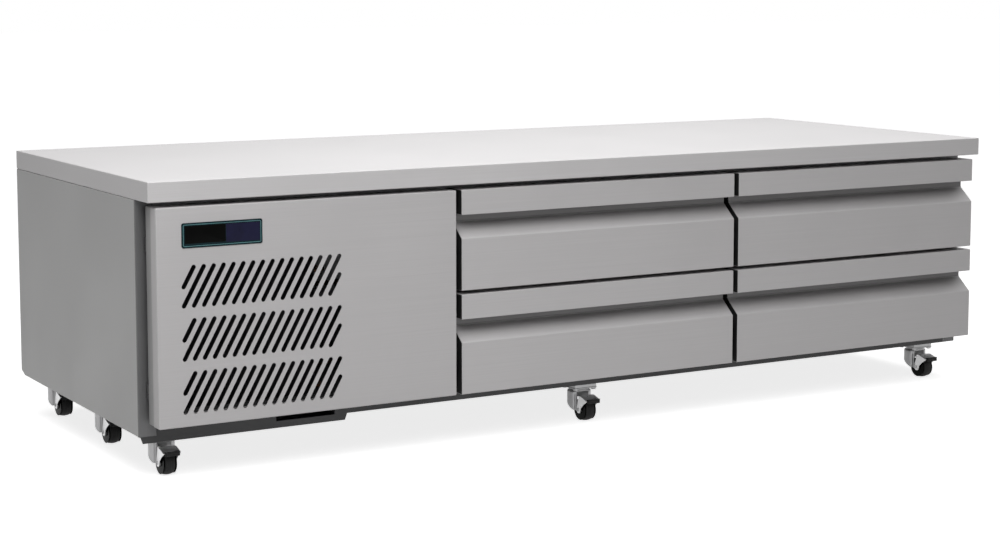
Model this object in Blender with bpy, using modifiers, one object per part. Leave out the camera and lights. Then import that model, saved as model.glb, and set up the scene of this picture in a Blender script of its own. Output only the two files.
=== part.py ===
"""Refrigerated chef base on castors.

A low counter with a machine compartment on the left, behind a hinged vent panel,
and two banks of two drawers on the right. Metres, +Z up, +X to the right seen from
the front, the front faces -Y. The origin is on the floor under the cabinet's middle.
"""
import math

import bmesh
import bpy
from mathutils import Matrix, Vector

# Gaps between pieces, and how far a cutting shape passes what it cuts
seat_gap = 0.0003
running_gap = 0.0006
overrun = 0.004
weld_overlap = 0.0006
merge_distance = 0.000001
sharp_degrees = 40

# Worktop
worktop_length = 2.100
worktop_depth = 0.817
worktop_thickness = 0.040
worktop_edge_round = 0.0015

# Fronts: the vent panel and the four drawers
front_overhang = 0.071
front_inset = 0.002
gasket_depth = 0.012
gasket_width = 0.012
gasket_inset = 0.004
side_margin = 0.017
bank_gap = 0.012
drawer_gap = 0.008
top_gap = 0.0105
bottom_gap = 0.026
front_lap = 0.020
vent_panel_width = 0.650
drawer_front_height = 0.2095

# Finger pull along the top of each drawer front
pull_strip_height = 0.052
pull_wall_height = 0.0175
pull_slope_height = 0.0315
pull_depth = 0.038

# Cabinet shell
back_thickness = 0.050
bulkhead_thickness = 0.050
frame_depth = 0.040
corner_cut_length = 0.024
corner_cut_height = 0.009

# Rear louvres of the machine compartment and the cable gland beside them
skin = 0.002
pocket_rim = 0.020
louvre_count = 16
louvre_width = 0.008
louvre_pitch = 0.024
louvre_height = 0.160
gland_radius = 0.012
gland_bore_radius = 0.005
gland_length = 0.015
gland_inset = 0.030

# Tray under the machine compartment, and the openings above it in the base
tray_height = 0.014
tray_side_inset = 0.023
tray_apron_inset = 0.004
tray_front_inset = 0.002
tray_back_inset = 0.006
tray_length = 0.426
tray_slant = 0.005
tray_sheet = 0.002
base_opening_rim = 0.022
base_sill_depth = 0.060
notch_start = 0.290
notch_width = 0.130
notch_height = 0.015

# Vent panel: a folded tray with three bands of slanted slots
panel_sheet = 0.0015
panel_lip = 0.015
slot_width = 0.0094
slot_pitch = 0.0206
slot_side_inset = 0.0544
slot_columns = 16
slot_lean_columns = 2
band_count = 3
band_bottom = 0.029
band_gap = 0.029
band_top_gap = 0.037

# Lift-off hinges of the vent panel
hinge_barrel_radius = 0.004
hinge_pin_radius = 0.002
hinge_inset = 0.003
hinge_fixed_height = 0.010
hinge_moving_height = 0.020
hinge_end_inset = 0.060
hinge_web = 0.003

# Controller
controller_width = 0.1675
controller_height = 0.0485
controller_bezel = 0.0015
controller_side_inset = 0.050
controller_top_inset = 0.0316
controller_rim = 0.008
controller_depth = 0.040

# Drawer cradles and their runners
rack_sheet = 0.0015
rail_reach = 0.005
rail_sheet = 0.002
rack_strap_height = 0.060
cradle_side_gap = 0.0045
cradle_sheet = 0.0015
cradle_back_gap = 0.020
cradle_lift = 0.018
cradle_head_gap = 0.0315
cradle_end_ledge = 0.031
cradle_bar_width = 0.020
slide_bar_lift = 0.045
slide_bar_height = 0.010
slide_bar_setback = 0.012

# Compressor
compressor_radius = 0.085
compressor_height = 0.175
compressor_dome = 0.045
compressor_foot_length = 0.230
compressor_foot_depth = 0.150
compressor_foot_sheet = 0.003
compressor_foot_lift = 0.010
compressor_mount_radius = 0.011
compressor_mount_inset = 0.020

# Condenser coil, its fan shroud, motor and fan
coil_width = 0.320
coil_height = 0.280
coil_depth = 0.040
coil_side_inset = 0.020
coil_plate = 0.003
shroud_depth = 0.050
shroud_sheet = 0.002
shroud_opening_rim = 0.023
motor_bar_width = 0.040
motor_bar_sheet = 0.003
motor_radius = 0.038
motor_length = 0.055
motor_shaft_radius = 0.004
fan_tip_gap = 0.006
fan_hub_radius = 0.030
fan_hub_length = 0.022
fan_blade_width = 0.034
fan_root_share = 0.9
fan_blade_sheet = 0.0015
fan_blade_count = 5
fan_pitch_degrees = 24.0

# Evaporator on the back wall of the cold space, its fan, and the space before it
evaporator_width = 0.420
evaporator_height = 0.200
evaporator_depth = 0.060
evaporator_boss_radius = 0.022
evaporator_boss_length = 0.012
evaporator_fan_radius = 0.075
evaporator_hub_radius = 0.020
evaporator_hub_length = 0.014
evaporator_blade_width = 0.022
air_gap = 0.0288

# Castors
castor_side_inset = 0.069
castor_front_inset = 0.0615
castor_back_inset = 0.0565
wheel_diameter = 0.050
wheel_width = 0.022
wheel_shoulder = 0.0025
wheel_hub_radius = 0.008
wheel_top_gap = 0.0125
axle_radius = 0.004
axle_end = 0.001
castor_trail = 0.025
fork_width = 0.033
fork_sheet = 0.002
fork_crown = 0.0025
hood_radius = 0.0262
hood_shoulder = 0.0115
hood_flare = 0.0015
fork_front_reach = 0.014
fork_back_height = 0.018
fork_eye_radius = 0.0085
head_radius = 0.019
head_height = 0.0056
kingpin_radius = 0.004
kingpin_head_radius = 0.007
kingpin_head_height = 0.002
castor_plate = 0.060
castor_plate_sheet = 0.0025

# Castor brake: two side arms from the axle, a web over the wheel and a pedal
brake_sheet = 0.0017
brake_eye_radius = 0.0075
brake_wheel_gap = 0.0045
brake_web_front = 0.032
brake_web_bend = 0.010
brake_web_back = 0.002
brake_web_slope = 0.0067
brake_arm_height = 0.004
pedal_width = 0.030
pedal_reach = 0.038
pedal_root = 0.030
pedal_low = 0.018
pedal_high = 0.0285
pedal_rise = 0.002

# Heights, from the floor up
wheel_radius = wheel_diameter / 2
crown_underside = wheel_diameter + wheel_top_gap
crown_top = crown_underside + fork_crown
head_bottom = crown_top + running_gap
plate_bottom = head_bottom + head_height
plate_top = plate_bottom + castor_plate_sheet
tray_bottom = plate_top + seat_gap
base_bottom = tray_bottom + tray_height
front_bottom = base_bottom + bottom_gap
front_top = front_bottom + 2 * drawer_front_height + drawer_gap
worktop_bottom = front_top + top_gap
worktop_top = worktop_bottom + worktop_thickness
base_thickness = bottom_gap + front_lap
base_top = base_bottom + base_thickness
ceiling_thickness = top_gap + front_lap
ceiling_bottom = worktop_bottom - ceiling_thickness
drawer_middle = front_bottom + drawer_front_height + drawer_gap / 2
rail_height = drawer_gap + 2 * front_lap

# Places along X
half_length = worktop_length / 2
wall_thickness = side_margin + front_lap
inner_left = -half_length + wall_thickness
inner_right = half_length - wall_thickness
panel_left = -half_length + side_margin
panel_right = panel_left + vent_panel_width
left_bank_start = panel_right + bank_gap
drawer_width = (half_length - side_margin - left_bank_start - bank_gap) / 2
right_bank_start = left_bank_start + drawer_width + bank_gap
opening_width = drawer_width - 2 * front_lap
bulkhead_right = left_bank_start + front_lap
bulkhead_left = bulkhead_right - bulkhead_thickness
bank_starts = {"left": left_bank_start, "right": right_bank_start}

# Places along Y
half_depth = worktop_depth / 2
front_face = -half_depth + front_inset
body_front = -half_depth + front_overhang
front_back = body_front - gasket_depth
body_back = half_depth
inner_back = body_back - back_thickness
rack_front = body_front + frame_depth + seat_gap
evaporator_front = inner_back - seat_gap - evaporator_depth
boss_front = evaporator_front - evaporator_boss_length
evaporator_fan_y = boss_front - running_gap - evaporator_hub_length / 2
rack_back = evaporator_fan_y - evaporator_hub_length / 2 - air_gap
cradle_back = rack_back - cradle_back_gap

model = bpy.data.collections.new("refrigerated_chef_base")
tools = bpy.data.collections.new("cutting_shapes")


def clear_scene():
    for thing in list(bpy.data.objects):
        bpy.data.objects.remove(thing, do_unlink=True)
    bpy.context.scene.collection.children.link(model)
    bpy.context.scene.collection.children.link(tools)


def finish(name, colour, roughness, metallic):
    """A Principled material of one colour."""
    material = bpy.data.materials.new(name)
    material.use_nodes = True
    shader = material.node_tree.nodes["Principled BSDF"]
    shader.inputs["Base Color"].default_value = (*colour, 1.0)
    shader.inputs["Roughness"].default_value = roughness
    shader.inputs["Metallic"].default_value = metallic
    return material


def place(name, mesh, matrix, material, carrier=None):
    """Put a mesh into the model as one named piece, on its carrier if it has one."""
    piece = bpy.data.objects.new(name, mesh)
    model.objects.link(piece)
    if mesh.materials:
        mesh.materials[0] = material
    else:
        mesh.materials.append(material)
    piece.matrix_world = matrix
    if carrier is not None:
        piece.parent = carrier
        piece.matrix_parent_inverse = Matrix.Translation(carrier.location).inverted()
    return piece


def place_tool(mesh, matrix):
    """Put a mesh among the cutting shapes, out of sight."""
    tool = bpy.data.objects.new("cutting_shape", mesh)
    tools.objects.link(tool)
    tool.matrix_world = matrix
    tool.hide_render = True
    tool.display_type = "WIRE"
    return tool


def axis_empty(name, point):
    """An empty on a joint's axis, which carries the pieces that move on it."""
    empty = bpy.data.objects.new(name, None)
    model.objects.link(empty)
    empty.location = point
    return empty


def boxes_mesh(boxes):
    """One mesh of boxes, each given by its low and high corner, about their middle."""
    shape = bmesh.new()
    lows = [min(low[axis] for low, high in boxes) for axis in range(3)]
    highs = [max(high[axis] for low, high in boxes) for axis in range(3)]
    middle = (Vector(lows) + Vector(highs)) / 2
    for low, high in boxes:
        size = Vector(high) - Vector(low)
        centre = (Vector(high) + Vector(low)) / 2 - middle
        matrix = Matrix.Translation(centre) @ Matrix.Diagonal(size.to_4d())
        bmesh.ops.create_cube(shape, size=1, matrix=matrix)
    mesh = bpy.data.meshes.new("boxes")
    shape.to_mesh(mesh)
    shape.free()
    return mesh, Matrix.Translation(middle)


def box(name, low, high, material, carrier=None):
    mesh, matrix = boxes_mesh([(low, high)])
    return place(name, mesh, matrix, material, carrier)


def box_tool(*boxes):
    return place_tool(*boxes_mesh(boxes))


def turn_to(axis):
    """A rotation that carries +Z to the named axis."""
    return {
        "X": Matrix.Rotation(math.pi / 2, 4, "Y"),
        "Y": Matrix.Rotation(-math.pi / 2, 4, "X"),
        "Z": Matrix.Identity(4),
    }[axis]


def smooth_round(mesh):
    """Shade the mesh smooth, with its edges kept sharp."""
    mesh.shade_smooth()
    mesh.set_sharp_from_angle(angle=math.radians(sharp_degrees))


def cylinder_mesh(radius, length, segments=24):
    shape = bmesh.new()
    bmesh.ops.create_cone(
        shape, cap_ends=True, segments=segments, radius1=radius, radius2=radius, depth=length
    )
    mesh = bpy.data.meshes.new("cylinder")
    shape.to_mesh(mesh)
    shape.free()
    smooth_round(mesh)
    return mesh


def cylinder_tool(start, axis, radius, length, segments=24):
    """A cylinder that runs from its start point along the axis."""
    turn = turn_to(axis)
    middle = Vector(start) + turn @ Vector((0, 0, length / 2))
    return place_tool(cylinder_mesh(radius, length, segments), Matrix.Translation(middle) @ turn)


def prism_mesh(outlines, thickness):
    """Flat outlines in local X and Y, filled and thickened evenly about Z = 0."""
    curve = bpy.data.curves.new("outline", "CURVE")
    curve.dimensions = "2D"
    curve.fill_mode = "BOTH"
    curve.extrude = thickness / 2
    for outline in outlines:
        spline = curve.splines.new("POLY")
        spline.points.add(len(outline) - 1)
        for point, (across, up) in zip(spline.points, outline):
            point.co = (across, up, 0, 1)
        spline.use_cyclic_u = True
    guide = bpy.data.objects.new("outline", curve)
    tools.objects.link(guide)
    bpy.context.view_layer.update()
    depsgraph = bpy.context.evaluated_depsgraph_get()
    mesh = bpy.data.meshes.new_from_object(guide.evaluated_get(depsgraph))
    bpy.data.objects.remove(guide, do_unlink=True)
    shape = bmesh.new()
    shape.from_mesh(mesh)
    bmesh.ops.remove_doubles(shape, verts=shape.verts, dist=merge_distance)
    bmesh.ops.recalc_face_normals(shape, faces=shape.faces)
    shape.to_mesh(mesh)
    shape.free()
    smooth_round(mesh)
    return mesh


def facing(plane):
    """A rotation that lays a prism's outline in the named plane of the model."""
    columns = {
        "YZ": ((0, 1, 0), (0, 0, 1), (1, 0, 0)),
        "XZ": ((1, 0, 0), (0, 0, 1), (0, -1, 0)),
        "XY": ((1, 0, 0), (0, 1, 0), (0, 0, 1)),
    }[plane]
    return Matrix(columns).transposed().to_4x4()


def arc(centre, radius, start_degrees, end_degrees, steps):
    """Points on a circle from one angle to another, both ends included."""
    points = []
    for step in range(steps + 1):
        angle = math.radians(start_degrees + (end_degrees - start_degrees) * step / steps)
        across = centre[0] + radius * math.cos(angle)
        points.append((across, centre[1] + radius * math.sin(angle)))
    return points


def combine(piece, tool, operation):
    change = piece.modifiers.new(operation.lower(), "BOOLEAN")
    change.operation = operation
    change.solver = "EXACT"
    change.object = tool


def cut(piece, tool):
    combine(piece, tool, "DIFFERENCE")


def join(piece, tool):
    combine(piece, tool, "UNION")


def keep_common(piece, tool):
    combine(piece, tool, "INTERSECT")


def turned_mesh(profile):
    """An open mesh of the profile's edges, as (radius, height) from the outer top down."""
    mesh = bpy.data.meshes.new("profile")
    points = [(radius, 0, height) for radius, height in profile]
    edges = [(index, index + 1) for index in range(len(points) - 1)]
    mesh.from_pydata(points, edges, [])
    return mesh


def turn_profile(piece, segments):
    """Turn a profile about its local Z axis into a solid."""
    screw = piece.modifiers.new("turn", "SCREW")
    screw.axis = "Z"
    screw.steps = segments
    screw.render_steps = segments
    screw.use_merge_vertices = True
    screw.merge_threshold = merge_distance


def make_worktop():
    """Folded steel top with a board core, flush with the cabinet's ends and back."""
    piece = box(
        "worktop",
        (-half_length, -half_depth, worktop_bottom),
        (half_length, half_depth, worktop_top),
        satin_steel,
    )
    edge = piece.modifiers.new("edge_round", "BEVEL")
    edge.width = worktop_edge_round
    edge.segments = 1


def side_outline():
    """A cabinet end seen from the side, with its lower back corner cut off."""
    top = worktop_bottom - seat_gap
    return [
        (body_front, base_bottom),
        (body_back - corner_cut_length, base_bottom),
        (body_back, base_bottom + corner_cut_height),
        (body_back, top),
        (body_front, top),
    ]


def hinge_heights():
    """Where the moving barrel of each vent panel hinge starts."""
    lower = front_bottom + hinge_end_inset
    upper = front_top - hinge_end_inset - hinge_moving_height
    return [lower, upper]


hinge_x = panel_left + hinge_inset
hinge_y = body_front - gasket_depth / 2


def make_sides():
    for name, centre in (
        ("left_side_panel", -half_length + wall_thickness / 2),
        ("right_side_panel", half_length - wall_thickness / 2),
    ):
        mesh = prism_mesh([side_outline()], wall_thickness - seat_gap)
        outward = math.copysign(seat_gap / 2, centre)
        matrix = Matrix.Translation((centre + outward, 0, 0)) @ facing("YZ")
        piece = place(name, mesh, matrix, side_steel)
        if name == "left_side_panel":
            add_fixed_hinges(piece)


def add_fixed_hinges(side):
    """The lower barrels and their pins, which stand off the side panel's front edge."""
    for start in hinge_heights():
        bottom = start - running_gap - hinge_fixed_height
        web = box_tool(
            (
                (hinge_x - hinge_web / 2, hinge_y, bottom),
                (hinge_x + hinge_web / 2, body_front + weld_overlap, start - running_gap),
            )
        )
        barrel = cylinder_tool(
            (hinge_x, hinge_y, bottom), "Z", hinge_barrel_radius, hinge_fixed_height, 12
        )
        pin_length = hinge_fixed_height / 2 + running_gap + hinge_moving_height
        pin = cylinder_tool(
            (hinge_x, hinge_y, bottom + hinge_fixed_height / 2), "Z", hinge_pin_radius, pin_length, 12
        )
        join(side, web)
        join(side, barrel)
        join(side, pin)


def make_back():
    """Insulated back; behind the machine compartment it is a skin with louvres."""
    back = box(
        "back_panel",
        (inner_left + seat_gap, inner_back, base_bottom),
        (inner_right - seat_gap, body_back, worktop_bottom - seat_gap),
        side_steel,
    )
    left = inner_left + pocket_rim
    right = bulkhead_left - pocket_rim
    low = base_top + pocket_rim
    high = ceiling_bottom - pocket_rim
    cut(back, box_tool(((left, inner_back - overrun, low), (right, body_back - skin, high))))
    middle = (low + high) / 2
    first = (left + right) / 2 - (louvre_count - 1) * louvre_pitch / 2
    slits = []
    for index in range(louvre_count):
        across = first + index * louvre_pitch
        slits.append(
            (
                (across - louvre_width / 2, body_back - skin - overrun, middle - louvre_height / 2),
                (across + louvre_width / 2, body_back + overrun, middle + louvre_height / 2),
            )
        )
    cut(back, box_tool(*slits))
    gland_x = right - gland_inset
    gland_z = low + gland_inset
    boss_start = body_back - skin - gland_length
    boss = cylinder_tool(
        (gland_x, boss_start, gland_z), "Y", gland_radius, gland_length + weld_overlap
    )
    bore = cylinder_tool(
        (gland_x, boss_start - overrun, gland_z),
        "Y",
        gland_bore_radius,
        gland_length + skin + 2 * overrun,
    )
    join(back, boss)
    cut(back, bore)


tray_left = -half_length + tray_side_inset
tray_right = tray_left + tray_length
opening_left = inner_left + base_opening_rim
opening_right = tray_right - tray_slant - base_opening_rim
opening_front = body_front + base_sill_depth
opening_back = inner_back - base_opening_rim


def make_base():
    """Insulated floor, open over the machine tray, with a notch in its front sill."""
    base = box(
        "base_panel",
        (inner_left + seat_gap, body_front, base_bottom),
        (inner_right - seat_gap, inner_back - seat_gap, base_top),
        base_steel,
    )
    opening = box_tool(
        (
            (opening_left, opening_front, base_bottom - overrun),
            (opening_right, opening_back, base_top + overrun),
        )
    )
    notch_left = -half_length + notch_start
    notch = box_tool(
        (
            (notch_left, body_front - overrun, base_bottom - overrun),
            (notch_left + notch_width, opening_front + overrun, base_bottom + notch_height),
        )
    )
    cut(base, opening)
    cut(base, notch)


def make_ceiling():
    box(
        "ceiling_panel",
        (inner_left + seat_gap, body_front, ceiling_bottom),
        (inner_right - seat_gap, inner_back - seat_gap, worktop_bottom - seat_gap),
        inner_steel,
    )


def make_bulkhead():
    """The insulated wall between the machine compartment and the cold space."""
    box(
        "machine_bulkhead",
        (bulkhead_left, body_front, base_top + seat_gap),
        (bulkhead_right, inner_back - seat_gap, ceiling_bottom - seat_gap),
        inner_steel,
    )


def make_front_frame():
    """The upright between the banks and the rail between upper and lower drawers."""
    mullion_left = right_bank_start - bank_gap - front_lap
    mullion_right = right_bank_start + front_lap
    frame = box(
        "front_frame",
        (mullion_left, body_front, base_top + seat_gap),
        (mullion_right, body_front + frame_depth, ceiling_bottom - seat_gap),
        inner_steel,
    )
    rail = box_tool(
        (
            (bulkhead_right + seat_gap, body_front, drawer_middle - rail_height / 2),
            (inner_right - seat_gap, body_front + frame_depth, drawer_middle + rail_height / 2),
        )
    )
    join(frame, rail)


def make_tray():
    """A shallow pan under the machine compartment, with a wider slanted front."""
    top = base_bottom - seat_gap
    front = body_front + tray_front_inset
    depth = body_back - tray_back_inset - front
    apron_left = -half_length + tray_apron_inset
    outline = [
        (apron_left + tray_slant, tray_bottom),
        (tray_right - tray_slant, tray_bottom),
        (tray_right, top),
        (apron_left, top),
    ]
    middle = front + depth / 2
    matrix = Matrix.Translation((0, middle, 0)) @ facing("XZ")
    tray = place("machine_tray", prism_mesh([outline], depth), matrix, base_steel)
    behind_apron = box_tool(
        (
            (apron_left - overrun, front + tray_sheet, tray_bottom - overrun),
            (tray_left, front + depth + overrun, base_bottom + overrun),
        )
    )
    cut(tray, behind_apron)
    hollow = box_tool(
        (
            (tray_left + tray_sheet, front + tray_sheet, tray_bottom + tray_sheet),
            (
                tray_right - tray_slant - tray_sheet,
                front + depth - tray_sheet,
                base_bottom + overrun,
            ),
        )
    )
    cut(tray, hollow)


def slot_outline(start, end):
    """A long hole with round ends about the line from start to end."""
    lean = math.degrees(math.atan2(end[1] - start[1], end[0] - start[0]))
    radius = slot_width / 2
    upper = arc(end, radius, lean - 90, lean + 90, 4)
    lower = arc(start, radius, lean + 90, lean + 270, 4)
    return upper + lower


def slot_outlines():
    """Bands of slanted slots, each closed off by a half slot at both ends."""
    first = panel_left + slot_side_inset
    outlines = []
    start = front_bottom + band_bottom
    end = front_top - controller_top_inset - controller_height - band_top_gap
    band_rise = (end - start - (band_count - 1) * band_gap) / band_count
    for band in range(band_count):
        low = start + band * (band_rise + band_gap)
        high = low + band_rise
        middle = (low + high) / 2
        columns = [first + column * slot_pitch for column in range(slot_columns + 1)]
        half_lean = slot_lean_columns // 2
        outlines.append(slot_outline((columns[0], middle), (columns[half_lean], high)))
        for column in range(slot_columns + 1 - slot_lean_columns):
            top_column = columns[column + slot_lean_columns]
            outlines.append(slot_outline((columns[column], low), (top_column, high)))
        outlines.append(slot_outline((columns[-1 - half_lean], low), (columns[-1], middle)))
    return outlines


def make_vent_panel(carrier):
    """Folded steel tray with a returned lip, slotted in front of the condenser."""
    panel = box(
        "vent_panel",
        (panel_left, front_face, front_bottom),
        (panel_right, front_back, front_top),
        satin_steel,
        carrier,
    )
    hollow = box_tool(
        (
            (panel_left + panel_sheet, front_face + panel_sheet, front_bottom + panel_sheet),
            (panel_right - panel_sheet, front_back - panel_sheet, front_top - panel_sheet),
        ),
    )
    mouth = box_tool(
        (
            (panel_left + panel_lip, front_back - overrun, front_bottom + panel_lip),
            (panel_right - panel_lip, front_back + overrun, front_top - panel_lip),
        ),
    )
    slots = place_tool(
        prism_mesh(slot_outlines(), 2 * overrun + panel_sheet),
        Matrix.Translation((0, front_face + panel_sheet / 2, 0)) @ facing("XZ"),
    )
    window_low, window_high = controller_window(running_gap)
    window = box_tool(
        (
            (window_low[0], front_face - overrun, window_low[1]),
            (window_high[0], front_face + panel_sheet + overrun, window_high[1]),
        )
    )
    cut(panel, mouth)
    cut(panel, hollow)
    cut(panel, slots)
    cut(panel, window)
    for start in hinge_heights():
        add_moving_hinge(panel, start)


def add_moving_hinge(panel, start):
    """The upper barrel, which lifts off its pin, and the web to the panel's lip."""
    end = start + hinge_moving_height
    web = box_tool(
        (
            (hinge_x - hinge_web / 2, front_back - weld_overlap, start),
            (hinge_x + hinge_web / 2, hinge_y, end),
        )
    )
    barrel = cylinder_tool(
        (hinge_x, hinge_y, start), "Z", hinge_barrel_radius, hinge_moving_height, 12
    )
    bore = cylinder_tool(
        (hinge_x, hinge_y, start - overrun),
        "Z",
        hinge_pin_radius + running_gap,
        hinge_moving_height + 2 * overrun,
        12,
    )
    join(panel, web)
    join(panel, barrel)
    cut(panel, bore)


def controller_window(margin):
    """Corners of the panel's cut-out, or of what fills it with a negative margin."""
    left = panel_left + controller_side_inset + controller_rim
    right = left + controller_width - 2 * controller_rim
    high = front_top - controller_top_inset - controller_rim
    low = high - controller_height + 2 * controller_rim
    return (left - margin, low - margin), (right + margin, high + margin)


def make_controller(carrier):
    """Temperature controller: a bezel on the panel's face and a body behind it."""
    left = panel_left + controller_side_inset
    high = front_top - controller_top_inset
    controller = box(
        "controller",
        (left, front_face - controller_bezel, high - controller_height),
        (left + controller_width, front_face - seat_gap, high),
        dark_plastic,
        carrier,
    )
    low_corner, high_corner = controller_window(0)
    body = box_tool(
        (
            (low_corner[0], front_face - seat_gap - weld_overlap, low_corner[1]),
            (high_corner[0], front_face + controller_depth, high_corner[1]),
        )
    )
    join(controller, body)


def drawer_outline(low):
    """Side view of a drawer front: strip, recess with its slope, then the flat panel."""
    high = low + drawer_front_height
    strip = high - pull_strip_height
    wall = strip - pull_wall_height
    slope = wall - pull_slope_height
    return [
        (front_face, low),
        (front_back, low),
        (front_back, high),
        (front_face, high),
        (front_face, strip),
        (front_face + pull_depth, strip),
        (front_face + pull_depth, wall),
        (front_face, slope),
    ]


def make_drawer(bank, level, carrier):
    """One drawer: insulated front, its gasket, and the cradle that holds the pans."""
    name = f"{level}_{bank}"
    start = bank_starts[bank]
    low = front_bottom
    if level == "upper":
        low = front_bottom + drawer_front_height + drawer_gap
    high = low + drawer_front_height
    middle = start + drawer_width / 2
    front_mesh = prism_mesh([drawer_outline(low)], drawer_width)
    matrix = Matrix.Translation((middle, 0, 0)) @ facing("YZ")
    place(f"{name}_drawer_front", front_mesh, matrix, satin_steel, carrier)

    gasket = box(
        f"{name}_gasket",
        (start + gasket_inset, front_back + seat_gap, low + gasket_inset),
        (start + drawer_width - gasket_inset, body_front - seat_gap, high - gasket_inset),
        black_rubber,
        carrier,
    )
    inside = gasket_inset + gasket_width
    cut(
        gasket,
        box_tool(
            (
                (start + inside, front_back - overrun, low + inside),
                (start + drawer_width - inside, body_front + overrun, high - inside),
            )
        ),
    )
    make_cradle(name, middle, low, carrier)


def rail_floor(low):
    """Height of the runner's lower flange top, above a drawer front's lower edge."""
    return low + front_lap + cradle_lift + slide_bar_lift - running_gap


def make_cradle(name, middle, low, carrier):
    """Open steel frame for two pans, with a slide bar and a rim flange on each side."""
    half = opening_width / 2 - seat_gap - rack_sheet - rail_reach - cradle_side_gap
    front = front_back + seat_gap
    back = cradle_back
    bottom = low + front_lap + cradle_lift
    top = low + drawer_front_height - front_lap - cradle_head_gap
    cradle = box(
        f"{name}_cradle",
        (middle - half, front, bottom),
        (middle + half, back, top),
        bright_steel,
        carrier,
    )
    inner = half - cradle_sheet
    hollow = box_tool(
        (
            (middle - inner, front + cradle_sheet, bottom - overrun),
            (middle + inner, back - cradle_sheet, top - cradle_sheet),
        )
    )
    pan_holes = box_tool(
        (
            (middle - inner, front + cradle_end_ledge, top - cradle_sheet - overrun),
            (middle - cradle_bar_width / 2, back - cradle_end_ledge, top + overrun),
        ),
        (
            (middle + cradle_bar_width / 2, front + cradle_end_ledge, top - cradle_sheet - overrun),
            (middle + inner, back - cradle_end_ledge, top + overrun),
        ),
    )
    reach = opening_width / 2 - seat_gap - rack_sheet - running_gap
    bar_front = rack_front + slide_bar_setback
    bar_back = back - cradle_sheet / 2
    bar_bottom = bottom + slide_bar_lift
    slides = box_tool(
        (
            (middle - reach, bar_front, bar_bottom),
            (middle - half + weld_overlap, bar_back, bar_bottom + slide_bar_height),
        ),
        (
            (middle + half - weld_overlap, bar_front, bar_bottom),
            (middle + reach, bar_back, bar_bottom + slide_bar_height),
        ),
        (
            (middle - reach, bar_front, top - 2 * cradle_sheet),
            (middle - half + weld_overlap, bar_back, top - cradle_sheet / 2),
        ),
        (
            (middle + half - weld_overlap, bar_front, top - 2 * cradle_sheet),
            (middle + reach, bar_back, top - cradle_sheet / 2),
        ),
    )
    cut(cradle, hollow)
    cut(cradle, pan_holes)
    join(cradle, slides)


def make_rack(bank):
    """Two side sheets with the runners for both drawers, tied by a strap behind."""
    start = bank_starts[bank] + front_lap
    left = start + seat_gap
    right = start + opening_width - seat_gap
    strap = box(
        f"{bank}_runner_rack",
        (left, rack_back - rack_sheet, drawer_middle - rack_strap_height / 2),
        (right, rack_back, drawer_middle + rack_strap_height / 2),
        bright_steel,
    )
    bottom = base_top + seat_gap
    top = ceiling_bottom - seat_gap
    sheets = box_tool(
        ((left, rack_front, bottom), (left + rack_sheet, rack_back, top)),
        ((right - rack_sheet, rack_front, bottom), (right, rack_back, top)),
    )
    flanges = []
    reach = rack_sheet + rail_reach
    for low in (front_bottom, front_bottom + drawer_front_height + drawer_gap):
        floor = rail_floor(low)
        ceiling = floor + slide_bar_height + 2 * running_gap
        for bottom_z in (floor - rail_sheet, ceiling):
            top_z = bottom_z + rail_sheet
            flanges.append(((left + weld_overlap, rack_front, bottom_z), (left + reach, rack_back, top_z)))
            flanges.append(((right - reach, rack_front, bottom_z), (right - weld_overlap, rack_back, top_z)))
    join(strap, sheets)
    join(strap, box_tool(*flanges))


def make_compressor():
    """Hermetic compressor: a domed can on a foot plate, on four rubber mounts."""
    middle = Vector(((opening_left + opening_right) / 2, (opening_front + opening_back) / 2, 0))
    floor = tray_bottom + tray_sheet + seat_gap
    foot_bottom = floor + compressor_foot_lift
    foot_top = foot_bottom + compressor_foot_sheet
    can_bottom = foot_top - weld_overlap
    dome = compressor_dome
    crown = can_bottom + compressor_height
    profile = [(0, crown)]
    for radius, height in arc((0, 0), compressor_radius, 75, 0, 5):
        profile.append((radius, crown - dome + height * dome / compressor_radius))
    profile.append((compressor_radius, can_bottom))
    profile.append((0, can_bottom))
    can = place(
        "compressor", turned_mesh(profile), Matrix.Translation(middle), black_enamel
    )
    turn_profile(can, 32)
    half_foot = Vector((compressor_foot_length / 2, compressor_foot_depth / 2, 0))
    low = middle - half_foot
    high = middle + half_foot
    join(can, box_tool(((low.x, low.y, foot_bottom), (high.x, high.y, foot_top))))
    for side in (-1, 1):
        for end in (-1, 1):
            across = middle.x + side * (half_foot.x - compressor_mount_inset)
            along = middle.y + end * (half_foot.y - compressor_mount_inset)
            length = compressor_foot_lift + weld_overlap
            join(
                can,
                cylinder_tool((across, along, floor), "Z", compressor_mount_radius, length, 12),
            )


coil_left = inner_left + coil_side_inset
coil_right = coil_left + coil_width
coil_bottom = base_top + seat_gap
coil_top = coil_bottom + coil_height
coil_front = body_front + seat_gap
coil_back = coil_front + coil_depth
shroud_front = coil_back + seat_gap
shroud_back = shroud_front + shroud_depth
fan_x = (coil_left + coil_right) / 2
fan_z = (coil_bottom + coil_top) / 2
shroud_opening_radius = coil_height / 2 - shroud_sheet - shroud_opening_rim


def make_coil():
    """Finned condenser block between two end plates, standing on the front sill."""
    coil = box(
        "condenser_coil",
        (coil_left + coil_plate, coil_front + coil_plate, coil_bottom + coil_plate),
        (coil_right - coil_plate, coil_back - coil_plate, coil_top - coil_plate),
        fin_aluminium,
    )
    plates = box_tool(
        ((coil_left, coil_front, coil_bottom), (coil_left + 2 * coil_plate, coil_back, coil_top)),
        ((coil_right - 2 * coil_plate, coil_front, coil_bottom), (coil_right, coil_back, coil_top)),
    )
    join(coil, plates)


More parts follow.
